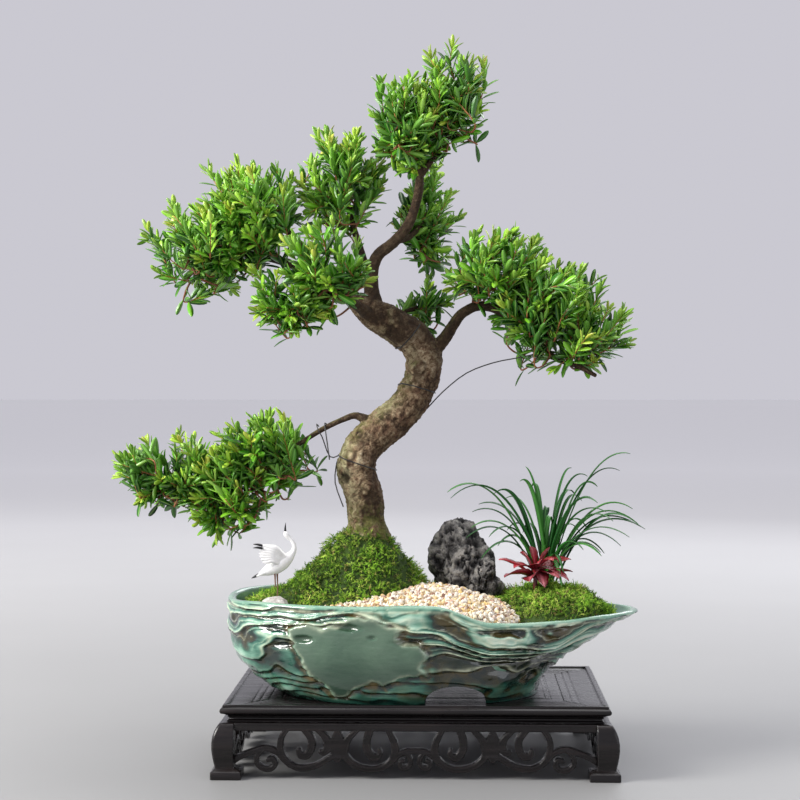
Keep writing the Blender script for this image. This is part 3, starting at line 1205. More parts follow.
def gravel(material):
    """Loose grains two or three deep over a plain bed."""
    rng = np.random.default_rng(12)

    def bed_values(points):
        return {"tone": np.clip(0.5 + 0.6 * layered_noise(points * 420, 2, 2), 0, 1)}

    parts = bed_surface("gravel_bed", 1.8, 0.35, bed_values, 5)
    points, tris = ball(1)
    at = bed_points(rng, GRAINS, "gravel_bed")
    at[:, 2] += np.where(rng.random(GRAINS) < 0.75, -0.7, 0.5)
    for centre in at:
        size = rng.uniform(1.35, 2.5) * np.array((1, rng.uniform(0.65, 1.0), rng.uniform(0.5, 0.85)))
        turn, _ = np.linalg.qr(rng.normal(size=(3, 3)))
        shape = points * (1 + 0.20 * rng.normal(size=(len(points), 1))).clip(0.7, 1.3)
        grain = (shape * size) @ turn
        parts.add(place(centre + grain), (), tris if np.linalg.det(turn) > 0 else tris[:, ::-1],
                  {"tone": rng.random()})
    piece(parts.build("gravel_grains", material, shade_smooth=False), ["gravel_bed"])


def soil(material):
    """The earth shows only through gaps in its cover, so it is a simple crumbly slab."""
    angles = math.tau * np.arange(SOIL_SECTIONS) / SOIL_SECTIONS
    rings = []
    for z, inset in ((POT_FLOOR_Z + 0.5, 15.0), (POT_FLOOR_Z + 8, 8.4), (95, 8.2), (SOIL_Z - 0.6, 8.2)):
        ring = pot_rings(angles, np.full(SOIL_SECTIONS, z))
        rings.append(ring - from_pot_middle(ring) * inset)
    edge = rings[-1]
    middle = np.array((POT_X, POT_Y, SOIL_Z - 0.3))
    for shrink in np.linspace(0.97, 0.03, 40):
        ring = middle + (edge - middle) * shrink
        ring[:, 2] = SOIL_Z - 0.4 + 0.7 * layered_noise(ring * 0.35, 3, 3)
        rings.append(ring)
    piece(skinned("potting_soil", rings, material), ["soil"])


# --- Rock and crane --------------------------------------------------------------------------
def rock(material):
    """Dark porous stone: two lumps pushed in and out by noise, with pores and sharp ribs."""
    points, tris = ball(6)
    parts = Parts()
    for centre, half, seed in ROCK_LUMPS:
        push = 1 + 0.30 * noise(points * 1.9 + seed) + 0.10 * layered_noise(points * 4.5 + seed, 3, 4)
        body = np.array(centre) + points * np.array(half) * push[:, None]
        pores = layered_noise(body * 0.17, 4, 17)
        ribs = 1 - np.abs(layered_noise(body * 0.13, 3, 27)) * 2
        cracks = -2.4 * smooth(ribs, 0.80, 1.0)
        pits = 2.4 * layered_noise(body * 0.11, 2, 57) - 1.5 * smooth(pores, 0.05, 0.40)
        pits = pits + 0.5 * layered_noise(body * 0.7, 2, 37)
        body = body + points * (pits + cracks)[:, None]
        cavity = np.clip(0.62 + (pits + cracks) * 0.17 + 0.2 * noise(body * 0.25, 47), 0, 1)
        body[:, 2] = np.maximum(body[:, 2], SOIL_Z - 1.0)
        parts.add(place(body), (), tris, {"cavity": cavity})
    piece(parts.build("porous_rock", material), ["rock"])


def round_body(parts, path_mm, sides, steps, flat=1.0):
    """A closed tube body; flat squeezes it across Y."""
    path = path_in_place(path_mm, steps)
    rings = tube_rings(path, sides)
    if flat != 1.0:
        rings[..., 1] = path[:, None, 1] + (rings[..., 1] - path[:, None, 1]) * flat
    parts.add(*closed_rings(rings))


CRANE_Y = -45.0
CRANE_BODY = [  # tail to beak: x, z, radius
    (-126, 150.6, 0.5), (-122.5, 152, 2.4), (-118, 154, 4.4), (-111.5, 157.4, 6.1), (-106, 161, 5.9),
    (-101.6, 164.4, 4.2), (-98.3, 168.4, 2.5), (-97.1, 172, 1.85), (-97.7, 175.4, 1.6),
    (-99.9, 178.6, 1.55), (-102.2, 180.8, 1.9), (-103.6, 182.8, 2.15), (-104.2, 184.6, 1.3),
    (-104.3, 185.4, 0.5),
]
CRANE_BLACKS = {  # piece: its node and its paths of x, out from the middle, z, radius
    "crane_beak_point": ("crane_beak", [
        [(-104.3, 0, 184.9, 1.0), (-104.35, 0, 187.5, 0.75), (-104.0, 0, 192, 0.15)]]),
    "crane_tail_feathers": ("crane_tail", [
        [(-124.6, d, 150.9, 1.1), (-128, d * 1.4, 149.3, 0.9), (-131, d * 1.5, 147.9, 0.25)]
        for d in (-1.6, 0, 1.6)]),
    "crane_wing_feathers": ("crane_wing_tip", [
        [(-121.6, -7.0 - d, 174.2 - 2.2 * d, 1.0), (-125.5, -7.1 - d, 175.2 - 2.6 * d, 0.85),
         (-129.2, -7.2 - d, 175.4 - 3.2 * d, 0.2)] for d in (0, 0.9)]),
}
TOE_LENGTH, TOE_DROP = 3.6, 0.9


def crane(white, black, leg_brown, stone):
    """A small crane with raised wings, black feather ends and beak, on a pale stone."""
    y = CRANE_Y
    parts = Parts()
    round_body(parts, [(x, y, z, radius) for x, z, radius in CRANE_BODY], 20, 5, 0.85)
    for sign, lift in ((-1, 0.0), (1, -1.5)):
        for k in range(7):
            share = k / 6
            root = np.array((-103 - 5 * share, y + sign * (2.5 + 1.4 * share), 163.5 - 4.5 * share))
            tip = np.array((-121.5 - 3.0 * math.sin(share * 3.1), y + sign * (7.5 - 1.5 * share),
                            175.0 - 14.0 * share + lift))
            bend = (root + tip) / 2 + np.array((1.0, sign * 1.6, 2.2))
            feather = [(*root, 1.2), (*bend, 2.0), (*(bend * 0.4 + tip * 0.6), 1.7), (*tip, 0.45)]
            round_body(parts, feather, 8, 4, 0.55)
    for k in range(5):
        share = (k - 2) / 2
        round_body(parts, [(-117, y + share * 1.5, 153.4, 1.5), (-123, y + share * 2.6, 151.4, 1.4),
                           (-127.0, y + share * 3.2, 149.9 - abs(share) * 0.4, 0.5)], 8, 4, 0.7)
    piece(parts.build("crane_plumage", white), ["crane_body"])
    for name, (node, paths) in CRANE_BLACKS.items():
        parts = Parts()
        for path in paths:
            round_body(parts, [(x, y + out, z, radius) for x, out, z, radius in path], 10, 5, 0.7)
        if name == "crane_beak_point":
            for sign in (-1, 1):
                eye_x, eye_y, eye_z = -103.6, y + sign * 1.55, 183.2
                round_body(parts, [(eye_x, eye_y, eye_z - 0.35, 0.1), (eye_x, eye_y, eye_z, 0.38),
                                   (eye_x, eye_y, eye_z + 0.35, 0.1)], 8, 3)
        piece(parts.build(name, black), [node])
    for name, x, leg_y in (("near", -112.4, y - 1.6), ("far", -110.9, y + 1.8)):
        parts = Parts()
        round_body(parts, [(x, leg_y, 153.5, 1.3), (x, leg_y, 150.5, 0.75), (x + 0.3, leg_y, 142, 0.5),
                           (x + 0.35, leg_y, 141, 0.72), (x + 0.3, leg_y, 140, 0.5), (x, leg_y, 131, 0.5)],
                   10, 4)
        for turn in (-0.6, 0.0, 0.6):
            toe_x, toe_y = x + TOE_LENGTH * math.cos(turn), leg_y + TOE_LENGTH * math.sin(turn)
            round_body(parts, [(x, leg_y, 131.6, 0.45), (toe_x * 0.5 + x * 0.5, toe_y * 0.5 + leg_y * 0.5,
                                                              131.2, 0.4),
                               (toe_x, toe_y, 131.0 - TOE_DROP, 0.2)], 6, 3)
        piece(parts.build(f"crane_shank_{name}", leg_brown), [f"crane_leg_{name}"])
    points, tris = ball(5)
    centre, half = CRANE_STONE
    push = 1 + 0.14 * layered_noise(points * 1.8 + 4.4, 4, 4)
    facets = 0.03 * layered_noise(points * 7, 2, 5)
    body = np.array(centre) + points * np.array(half) * (push + facets)[:, None]
    parts = Parts()
    parts.add(place(body), (), tris)
    piece(parts.build("crane_base_stone", stone), ["crane_stone"])


# --- Small plants ----------------------------------------------------------------------------
def ribbon(parts, path, half_widths, thick, fold, tone, sway):
    """A closed leaf or blade along a path in metres: a folded strip with a midrib, pointed at the tip."""
    ahead = unit(np.gradient(path, axis=0))
    side = np.cross(ahead, (0.0, 0.0, 1.0))
    flat = np.linalg.norm(side, axis=1) < 0.15
    side[flat] = np.cross(ahead[flat], (0.2, 1.0, 0.0))
    side = unit(side)
    side = unit(side * math.cos(sway) + np.cross(ahead, side) * math.sin(sway))
    up = np.cross(side, ahead)
    w = np.asarray(half_widths)[:, None]
    shoulder = up * (w * fold * 0.42 + thick * 0.5)
    rings = np.stack([path + side * w + up * w * fold, path + side * w * 0.5 + shoulder,
                      path + up * thick * 0.35, path - side * w * 0.5 + shoulder,
                      path - side * w + up * w * fold, path - up * thick * 0.9], axis=1)
    points, quads, tris = closed_rings(rings)
    rows = len(path)
    t = np.linspace(0, 1, rows)
    vein = np.tile((0.0, 0.25, 1.0, 0.25, 0.0, 0.6), rows)
    parts.add(points, quads, tris, {"tone": tone, "along": np.concatenate([np.repeat(t, 6), [0, 1]]),
                                    "vein": np.concatenate([vein, [0, 0]])})


GRASS_BASE = (106.0, 28.0, 124.0)
GRASS_BLADES = [  # tip x, y, z and height of the arch, in millimetres
    (27, -6, 209, 243), (62, 2, 212, 225), (45, 22, 196, 205), (52, 10, 158, 190), (166, 12, 231, 240),
    (150, 38, 216, 232), (146, -14, 206, 220), (176, 4, 200, 217), (184, 26, 184, 209), (172, -10, 178, 199),
    (156, 40, 160, 190), (96, 58, 214, 230), (118, -20, 150, 178), (72, 40, 205, 216), (132, 50, 208, 226),
    (58, -12, 178, 200), (160, 2, 190, 208), (140, 16, 226, 234), (84, 12, 222, 226), (168, 22, 168, 196),
    (150, -4, 162, 184), (74, 30, 180, 198), (110, 56, 192, 212), (128, 34, 232, 228), (178, 14, 190, 213),
    (66, 18, 168, 190), (44, 8, 184, 200), (120, 62, 172, 200), (142, 44, 180, 206), (88, 50, 176, 200),
]


def grass(material):
    rng = np.random.default_rng(31)
    base = np.array(GRASS_BASE)
    parts = Parts({"tone": 0.35, "along": 0.1, "vein": 0.0})
    blades = [np.array(b, float) for b in GRASS_BLADES]
    for blade in blades[::2]:
        twin = blade + rng.normal(size=4) * np.array((7, 7, 8, 5))
        blades.append(twin)
    for k, (x, y, z, arch) in enumerate(blades):
        tip = np.array((x, y, z))
        turn = math.tau * ((k * 0.381966) % 1)
        root = base + np.array((math.cos(turn), math.sin(turn), 0)) * rng.uniform(0.5, 4.5)
        middle = root + (tip - root) * rng.uniform(0.36, 0.48)
        middle[2] = arch + 7
        path, t = arched_path(root, middle, tip, 22)
        width = rng.uniform(1.8, 2.6)
        swell = np.clip(np.sin(math.pi * np.clip(0.14 + 0.86 * t[:, 0], 0, 1)) ** 0.45, 0.03, 1)
        ribbon(parts, place(path), width * swell * MM, 0.30 * MM, 0.42, rng.uniform(0.1, 1.0),
               rng.normal() * 0.25)
    crown = [(*(base + (0, 0, up)), radius) for up, radius in ((-6, 4), (0, 6.4), (9, 5.6), (17, 2))]
    round_body(parts, crown, 16, 3)
    piece(parts.build("grass_tuft", material), ["grass_clump"])


RED_BASE = (96.0, -8.0, 126.0)
RED_LEAVES = [  # tip x, y, z and half width, in millimetres
    (108, -4, 169, 6.2), (126, -12, 150, 7.0), (66, -14, 160, 6.0), (70, -32, 148, 6.5),
    (90, -38, 145, 7.2), (114, -34, 147, 6.4), (84, 2, 164, 6.0), (126, 8, 158, 6.4),
    (98, -26, 158, 5.6), (78, -20, 154, 5.6), (110, -20, 160, 5.2), (92, -4, 170, 4.2),
    (102, -40, 140, 5.0), (122, -26, 144, 5.0),
]


def red_plant(material):
    rng = np.random.default_rng(8)
    parts = Parts({"tone": 0.2, "along": 0.1, "vein": 0.0})
    base = np.array(RED_BASE)
    for k, (x, y, z, half_width) in enumerate(RED_LEAVES):
        tip = np.array((x, y, z), float)
        root = base + np.array((0, 0, 15 + 0.9 * k))
        middle = root + (tip - root) * 0.5 + np.array((0, 0, 7.0))
        path, t = arched_path(root, middle, tip, 18)
        path = path + np.array((0, 0, 1)) * np.sin(t * 14 + k) * 0.25
        swell = np.sin(math.pi * np.clip(t[:, 0] ** 1.15, 0.0, 1.0)) ** 0.8
        swell = np.clip(np.where(t[:, 0] < 0.16, 0.10 + 0.5 * t[:, 0], swell), 0.03, 1)
        jag = 1 + 0.06 * np.sin(t[:, 0] * 40 + k)
        ribbon(parts, place(path), 1.25 * half_width * swell * jag * MM, 0.45 * MM, 0.30,
               rng.uniform(0.15, 1.0), rng.normal() * 0.35)
    stem = [(*(base + (0, 0, up)), radius) for up, radius in ((-4, 2.2), (12, 2.0), (30, 1.0))]
    round_body(parts, stem, 10, 3)
    piece(parts.build("red_rosette", material), ["red_leaf_plant"])


# --- Tree ------------------------------------------------------------------------------------
TRUNK_PATH = [
    (-41, 4, 102, 12), (-41, 4, 135, 14), (-41, 4, 161, 16.5), (-41, 3, 176, 17.5),
    (-42.1, 2, 190.7, 15.6), (-43.7, 0, 212.1, 16), (-50.1, -3, 231.9, 15.2), (-45.2, -3, 249.9, 15.2),
    (-30.6, 0, 264.5, 15.6), (-14.3, 4, 279.1, 15.4), (-2.1, 8, 295.5, 15), (4.4, 10, 311.9, 15),
    (5, 10, 325.1, 15), (-1.3, 8, 336.6, 14.6), (-12.7, 5, 345.6, 14.4), (-25.7, 2, 353.7, 13.6),
    (-37.9, -1, 361, 11.5), (-50.1, -3, 370.7, 8),
]
BRANCH_PATHS = {
    "crown": [(-33.9, 2, 361.1, 8), (-38.2, 5, 383.3, 6), (-34.1, 6, 405.6, 5), (-20.1, 6, 417.9, 4.6),
              (-9.4, 5, 430.1, 4.4), (-2.8, 4, 444.8, 4.2), (1.3, 2, 463.5, 3.8), (0.5, 0, 477.2, 3.2),
              (-5.2, -3, 497.2, 2.4), (-12.4, -6, 515.6, 1.8)],
    "crown_right": [(0.9, 1, 470, 3), (9.5, 3, 482.4, 2.6), (27.5, 6, 509.9, 2.2), (37.4, 8, 531.5, 1.6)],
    "right": [(8, 10, 327, 8), (20.5, 10, 337.5, 5.6), (30.8, 9, 353.1, 4.7), (38.2, 8, 361.3, 4.4),
              (51.3, 6, 366.1, 4), (67.7, 4, 361.1, 3.4), (90.5, 0, 344.6, 3), (110.8, -3, 324.1, 2.7),
              (128.7, -4, 317.6, 2.4), (145.8, -4, 308.6, 1.8)],
    "right_up": [(60, 5, 363.5, 3), (77.7, 10, 374.5, 2.4), (92.7, 14, 386.3, 1.8)],
    "left_low": [(-32, 0, 266, 7), (-48.4, -4, 276, 3.2), (-59.6, -7, 273.6, 2.6), (-78.1, -10, 264.8, 2.3),
                 (-95.8, -12, 253.5, 2.1), (-108, -12, 246.1, 2.0), (-121.1, -11, 238, 1.9),
                 (-135.9, -9, 224.9, 1.8), (-155, -6, 215.8, 1.6), (-175, -3, 209.9, 1.4)],
    "left_up": [(-43, -2, 364, 8), (-61.6, -1, 378.9, 6), (-81.4, 2, 390.6, 4.8), (-106.3, 5, 401.4, 3.8),
                (-133.5, 6, 408, 3), (-160.6, 6, 412.1, 2.3)],
    "left_top": [(-69, 0, 382.5, 4), (-89.8, 4, 407.9, 3.4), (-109, 8, 430.4, 2.8), (-128.2, 10, 449.5, 2.2)],
    "middle": [(-37, 4, 374, 4.6), (-44.3, 14, 402.8, 3.4), (-52.9, 20, 429.7, 2.8), (-58.8, 22, 454.8, 2.2)],
    "front": [(-36.9, -4, 357, 6), (-48.9, -24, 365.7, 4), (-59.2, -40, 372.3, 3.2),
              (-72.1, -50, 376.5, 2.4)],
    "back": [(-17, 6, 420, 3.2), (-8.3, 26, 423.5, 2.6), (1.5, 40, 434.7, 2.2), (7, 45, 446, 1.7)],
    "back_low": [(-25, 8, 353, 5), (-15, 25, 360, 2.8), (0, 34, 366, 2)],
}
STUBS = [  # short cut ends and knots on the trunk: x, y, z, radius along a short path
    [(-14, 0, 340, 6), (-17, -8, 352, 5.4), (-19, -13, 361, 4.6), (-19.5, -14, 364, 4.2)],
    [(-50, -8, 237, 7), (-56, -14, 238, 5.6), (-59.5, -17, 238, 3.8)],
    [(-40, -6, 222, 7), (-41, -15, 219, 5.5), (-41, -18.2, 218.5, 3.5)],
    [(-2, 0, 314, 6.5), (2, -6.5, 316, 5), (3, -8.5, 316.5, 3)],
]
KNOTS = ((-54, -17, 244, 7), (-42, -16, 214, 6), (-26, -14, 276, 6), (-2, -6, 300, 7), (-48, -15, 262, 5))
KNOT_HOLE = (-57, -13, 226, 4.6)
DARK_PATCHES = ((-41, -15, 205, 10), (-37, -15, 196, 8), (-44, -15, 256, 7), (-28, -14, 270, 6),
                (-3, -6, 312, 11), (-18, -8, 342, 12), (-32, -8, 352, 9))
BARK_VOXEL = 0.0009
TRUNK_SIDES, BRANCH_SIDES = 40, 16
BARK_DEPTH = 1.55


def nearest_on(paths, points):
    """For each point: distance along the nearest path, the radius there, and the angle round it."""
    best = np.full(len(points), 1e9)
    along, radius, angle = np.zeros(len(points)), np.zeros(len(points)), np.zeros(len(points))
    start = 0.0
    for path in paths:
        _, u, v = path_frames(path[:, :3])
        lengths = np.concatenate([[0], np.cumsum(np.linalg.norm(np.diff(path[:, :3], axis=0), axis=1))])
        for k in range(len(path)):
            off = points - path[k, :3]
            away = np.linalg.norm(off, axis=1) - path[k, 3]
            closer = away < best
            best = np.where(closer, away, best)
            along = np.where(closer, start + lengths[k], along)
            radius = np.where(closer, path[k, 3], radius)
            angle = np.where(closer, np.arctan2(off @ v[k], off @ u[k]), angle)
        start += lengths[-1] + 0.05
    return along, radius, angle


def shares_away(points, spot, size):
    """Distance from a spot in millimetres, as a share of its size."""
    return np.linalg.norm(points - place(spot), axis=1) / (size * MM)


def tree_bark(material):
    """Trunk, branches and cut stubs grown together, then given ridged and flaking bark."""
    rough = Parts()
    paths = [path_in_place(TRUNK_PATH, 6)]
    paths += [path_in_place(p, 5) for p in BRANCH_PATHS.values()]
    limbs = paths + [path_in_place(p, 4) for p in STUBS]
    for k, path in enumerate(limbs):
        rings = tube_rings(path, TRUNK_SIDES if k == 0 else BRANCH_SIDES)
        if k == 0:
            flat = rings.reshape(-1, 3)
            lumps = layered_noise(flat * 42, 2, 5) * 0.10 + layered_noise(flat * 90, 2, 6) * 0.05
            centre = np.repeat(path[:, None, :3], TRUNK_SIDES, axis=1).reshape(-1, 3)
            rings = (centre + (flat - centre) * (1 + lumps[:, None])).reshape(rings.shape)
        rough.add(*closed_rings(rings))
    body = rough.build("tree_rough", material)
    remesh = body.modifiers.new("grown_together", "REMESH")
    remesh.mode = "VOXEL"
    remesh.voxel_size = BARK_VOXEL
    ease = body.modifiers.new("ease", "SMOOTH")
    ease.factor, ease.iterations = 0.5, 6
    mesh = evaluated_mesh(body)
    bpy.data.objects.remove(body, do_unlink=True)
    points = np.empty(len(mesh.vertices) * 3, np.float32)
    mesh.vertices.foreach_get("co", points)
    points = points.reshape(-1, 3).astype(float)
    normals = np.empty(len(mesh.vertices) * 3, np.float32)
    mesh.vertex_normals.foreach_get("vector", normals)
    normals = normals.reshape(-1, 3)
    along, radius, angle = nearest_on(paths, points)
    twist = angle + along * 9
    ring = np.stack([np.cos(twist) * 2.6, np.sin(twist) * 2.6, along * 62], axis=1)
    ridges = 1 - np.abs(layered_noise(ring * (1, 1, 0.55), 3, 81)) * 2.2
    plates = 2.6 * layered_noise(points * 105 + 1.5 * layered_noise(points * 60, 2, 84)[:, None], 3, 82)
    edge = plates - np.floor(plates)
    flakes = (np.floor(plates) + smooth(edge, 0.70, 1.0)) / 2.6 + 0.35 * layered_noise(points * 300, 2, 85)
    cracks = smooth(edge, 0.50, 0.72) * (1 - smooth(edge, 0.82, 1.0))
    lumps = layered_noise(points * 62, 3, 83)
    big = np.clip(radius / 0.015, 0.10, 1.0)
    grains = layered_noise(points * 420, 2, 86)
    relief = (0.55 * ridges - 0.25) * 0.6 + 0.55 * flakes + 0.7 * lumps + 0.5 * grains
    wrinkles = np.sin(along * 1500 + 5 * lumps + 2 * np.sin(twist * 2)) * 0.10 * (big > 0.5)
    knots = np.zeros(len(points))
    for x, y, z, size in KNOTS:
        away = shares_away(points, (x, y, z), size)
        knots += np.exp(-away**2) * np.cos(away * 5.0)
    hollow = np.exp(-shares_away(points, KNOT_HOLE[:3], KNOT_HOLE[3]) ** 4)
    push = (relief * BARK_DEPTH + wrinkles) * big + knots * 0.9 - 2.6 * hollow
    points = points + normals * (push * MM)[:, None]
    mesh.vertices.foreach_set("co", points.astype(np.float32).ravel())
    height = points[:, 2] / MM
    tone = np.clip(0.57 + 0.26 * relief - 0.16 * cracks + 0.15 * knots - hollow, 0, 1)
    dark = np.clip(smooth(0.009 - radius, -0.001, 0.004) * 0.8 + smooth(normals[:, 0], 0.0, 0.8) * 0.70
                   + 0.6 * np.clip(-knots, 0, 1), 0, 1)
    dark += 0.45 * smooth(height, 318, 352) * (1 - smooth(height, 420, 440)) + hollow
    for x, y, z, size in DARK_PATCHES:
        away = shares_away(points, (x, y, z), size)
        dark += 0.9 * np.exp(-away**2) * smooth(layered_noise(points * 130, 3, 95), -0.25, 0.15)
    dark = np.clip(dark, 0, 1)
    mossy = 1.0 - smooth(height, 172, 216)
    upper_left = smooth(normals[:, 0] * -0.6 + normals[:, 2] * 0.6, 0.1, 0.8)
    mossy += 0.55 * upper_left * (1 - smooth(height, 330, 380))
    pale_patches = smooth(layered_noise(points * 75, 4, 97), -0.40, 0.25)
    pale = smooth(-normals[:, 0], -0.25, 0.75) * pale_patches * (radius > 0.009)
    pale *= 1 - dark
    for key, value in (("relief", tone), ("dark", dark), ("mossy", np.clip(mossy, 0, 1)), ("pale", pale)):
        write_values(mesh, key, "POINT", value)
    mesh.polygons.foreach_set("use_smooth", np.ones(len(mesh.polygons), bool))
    mesh.materials.clear()
    mesh.materials.append(material)
    return piece(linked("trunk_bark", mesh), ["trunk_and_branches"])


# --- Foliage ---------------------------------------------------------------------------------
PADS = {  # lobes: centre x, y, z and half sizes, in millimetres; lean of the shoots; shoots; branches
    "foliage_upper_left": ([(-180, 4, 412, 44, 46, 40), (-134, 3, 446, 44, 42, 40),
                            (-152, 0, 424, 46, 44, 36)], (-0.35, 0, 0.85), 118, ("left_up", "left_top")),
    "foliage_upper_middle": ([(-64, 24, 464, 36, 32, 46)], (0.0, 0, 1.0), 42, ("middle",)),
    "foliage_front": ([(-68, -54, 394, 35, 26, 40), (-100, -50, 370, 30, 24, 24)],
                      (-0.1, -0.3, 0.8), 52, ("front",)),
    "foliage_crown": ([(-6, -3, 512, 30, 27, 38), (32, 5, 538, 28, 27, 34), (12, 0, 520, 26, 26, 34)],
                      (0.12, 0, 0.95), 80, ("crown", "crown_right")),
    "foliage_back": ([(8, 53, 438, 26, 25, 46)], (0.2, 0.2, 0.9), 32, ("back",)),
    "foliage_back_low": ([(8, 42, 368, 20, 16, 14)], (0.2, 0.2, 0.4), 8, ("back_low",)),
    "foliage_right": ([(62, 5, 398, 46, 41, 28), (130, -4, 346, 44, 42, 38), (100, 0, 368, 44, 40, 34)],
                      (0.25, 0, 0.85), 120, ("right", "right_up")),
    "foliage_lower_left": ([(-128, -8, 244, 38, 34, 32), (-206, 0, 226, 44, 36, 26),
                            (-162, -6, 212, 40, 32, 32)], (-0.45, 0, 0.75), 118, ("left_low",)),
}
LEAF_THICKNESS = 0.00022
TWIG_SIDES = 5
LEAF_STATIONS = np.array((0.0, 0.12, 0.34, 0.62, 0.84, 0.96, 1.0))
LEAF_HALF_WIDTH = np.array((0.10, 0.34, 0.82, 1.0, 0.80, 0.42, 0.06))


class Leaves:
    """Gathers leaves as rows of numbers and turns them all into one mesh at the end."""

    def __init__(self):
        self.rows = []

    def add(self, root, ahead, up, length, width, curl, tone, young):
        self.rows.append((*root, *ahead, *up, length, width, curl, tone, young))

    def into(self, parts):
        rows = np.array(self.rows)
        root, ahead, up = rows[:, 0:3], unit(rows[:, 3:6]), rows[:, 6:9]
        side = unit(np.cross(ahead, up))
        up = np.cross(side, ahead)
        length, width, curl, tone, young = rows[:, 9:14].T
        t, w = LEAF_STATIONS, LEAF_HALF_WIDTH
        n, s = len(rows), len(t)
        spine = root[:, None] + ahead[:, None] * (length[:, None] * t)[..., None]
        spine = spine - up[:, None] * (curl[:, None] * length[:, None] * t**2)[..., None]
        half = side[:, None] * (width[:, None] * w / 2)[..., None]
        rise = up[:, None] * (width[:, None] * w * 0.16)[..., None]
        thick = up[:, None] * (LEAF_THICKNESS * (0.4 + 0.6 * w))[None, :, None]
        rings = np.stack([spine + half + rise, spine + thick, spine - half + rise, spine - thick], axis=2)
        points = rings.reshape(-1, 3)
        ends = np.array([[3, 2, 1, 0], [(s - 1) * 4 + k for k in range(4)]])
        quads = np.concatenate([grid_faces(s, 4), ends])
        under_one = np.concatenate([np.tile((0, 0, 1, 1), s - 1), [1, 1]])
        first = (np.arange(n) * s * 4)[:, None, None]
        all_quads = (quads[None] + first).reshape(-1, 4)
        vein = np.tile((0.0, 1.0, 0.0, 0.5), s)
        parts.add(points, all_quads, (), {
            "tone": np.repeat(tone, s * 4), "young": np.repeat(young, s * 4),
            "along": np.tile(np.repeat(t, 4), n), "vein": np.tile(vein, n),
            "face_under": (np.tile(under_one, n), np.zeros(0))})


def grow_pad(name, leaf_material, twig_material, seed):
    """One leafy pad: leafy shoots spread through its room, each joined by a twig to the nearest wood."""
    lobes, lean, shoots, branches = PADS[name]
    rng = np.random.default_rng(seed)
    lean = np.array(lean, float)
    wood = np.concatenate([smooth_path(BRANCH_PATHS[b], 6)[3:, :3] for b in branches])
    sizes = np.array([a * b * c for _, _, _, a, b, c in lobes]) ** 0.67
    tips = []
    while len(tips) < shoots:
        x, y, z, a, b, c = lobes[rng.choice(len(lobes), p=sizes / sizes.sum())]
        d = unit(rng.normal(size=3) + lean * 0.45)
        tip = np.array((x, y, z)) + d * np.array((a, b, c)) * rng.uniform(0.42, 1.0) ** 0.5
        space = 7.5 if len(tips) < shoots * 0.7 else 5.5
        if all(np.linalg.norm(tip - other) > space for other, _, _ in tips) or rng.random() < 0.02:
            tips.append((tip, d, float(np.clip(-d[2] * 1.3 + 0.35, 0, 1))))
    leaves, twigs = Leaves(), Parts()
    order = np.argsort([np.min(np.linalg.norm(wood - tip, axis=1)) for tip, _, _ in tips])
    nodes = list(wood)
    for k in order:
        tip, outward, low = tips[k]
        flat_out = outward * (1, 1, 0.35)
        direction = unit(flat_out * (0.45 + 0.8 * low) + lean * (1 - 0.75 * low)
                         + rng.normal(size=3) * 0.26)
        length = rng.uniform(26, 44) * (1 - 0.25 * low)
        if low == 0 and rng.random() < 0.35:
            tip = tip + direction * rng.uniform(4, 13)
        foot = tip - direction * length
        anchor = nodes[np.argmin(np.linalg.norm(np.array(nodes) - foot, axis=1))]
        gap = np.linalg.norm(foot - anchor)
        bend = anchor + (foot - anchor) * 0.5 + np.array((0, 0, -0.12 * gap))
        bend = bend + rng.normal(size=3) * gap * 0.08
        mid = foot + (tip - foot) * 0.5 + rng.normal(size=3) * 1.6
        path = smooth_path(np.array([anchor, bend, foot, mid, tip]), 5)
        thick = np.linspace(1.0, 0.36, len(path)) * (1.0 if gap > 18 else 0.85)
        rings = tube_rings(np.concatenate([place(path), thick[:, None] * MM], axis=1), TWIG_SIDES)
        young = np.concatenate([np.repeat(np.linspace(0.1, 1.0, len(path)), TWIG_SIDES), [0.1, 1.0]])
        twigs.add(*closed_rings(rings), {"young": young})
        nodes += list(path[4:16:3])
        add_shoot_leaves(leaves, rng, path[int(len(path) * 0.42):])
    parts = Parts()
    leaves.into(parts)
    number = name.replace("foliage_", "")
    piece(parts.build(f"leaves_{number}", leaf_material), [name])
    piece(twigs.build(f"twigs_{number}", twig_material), [])


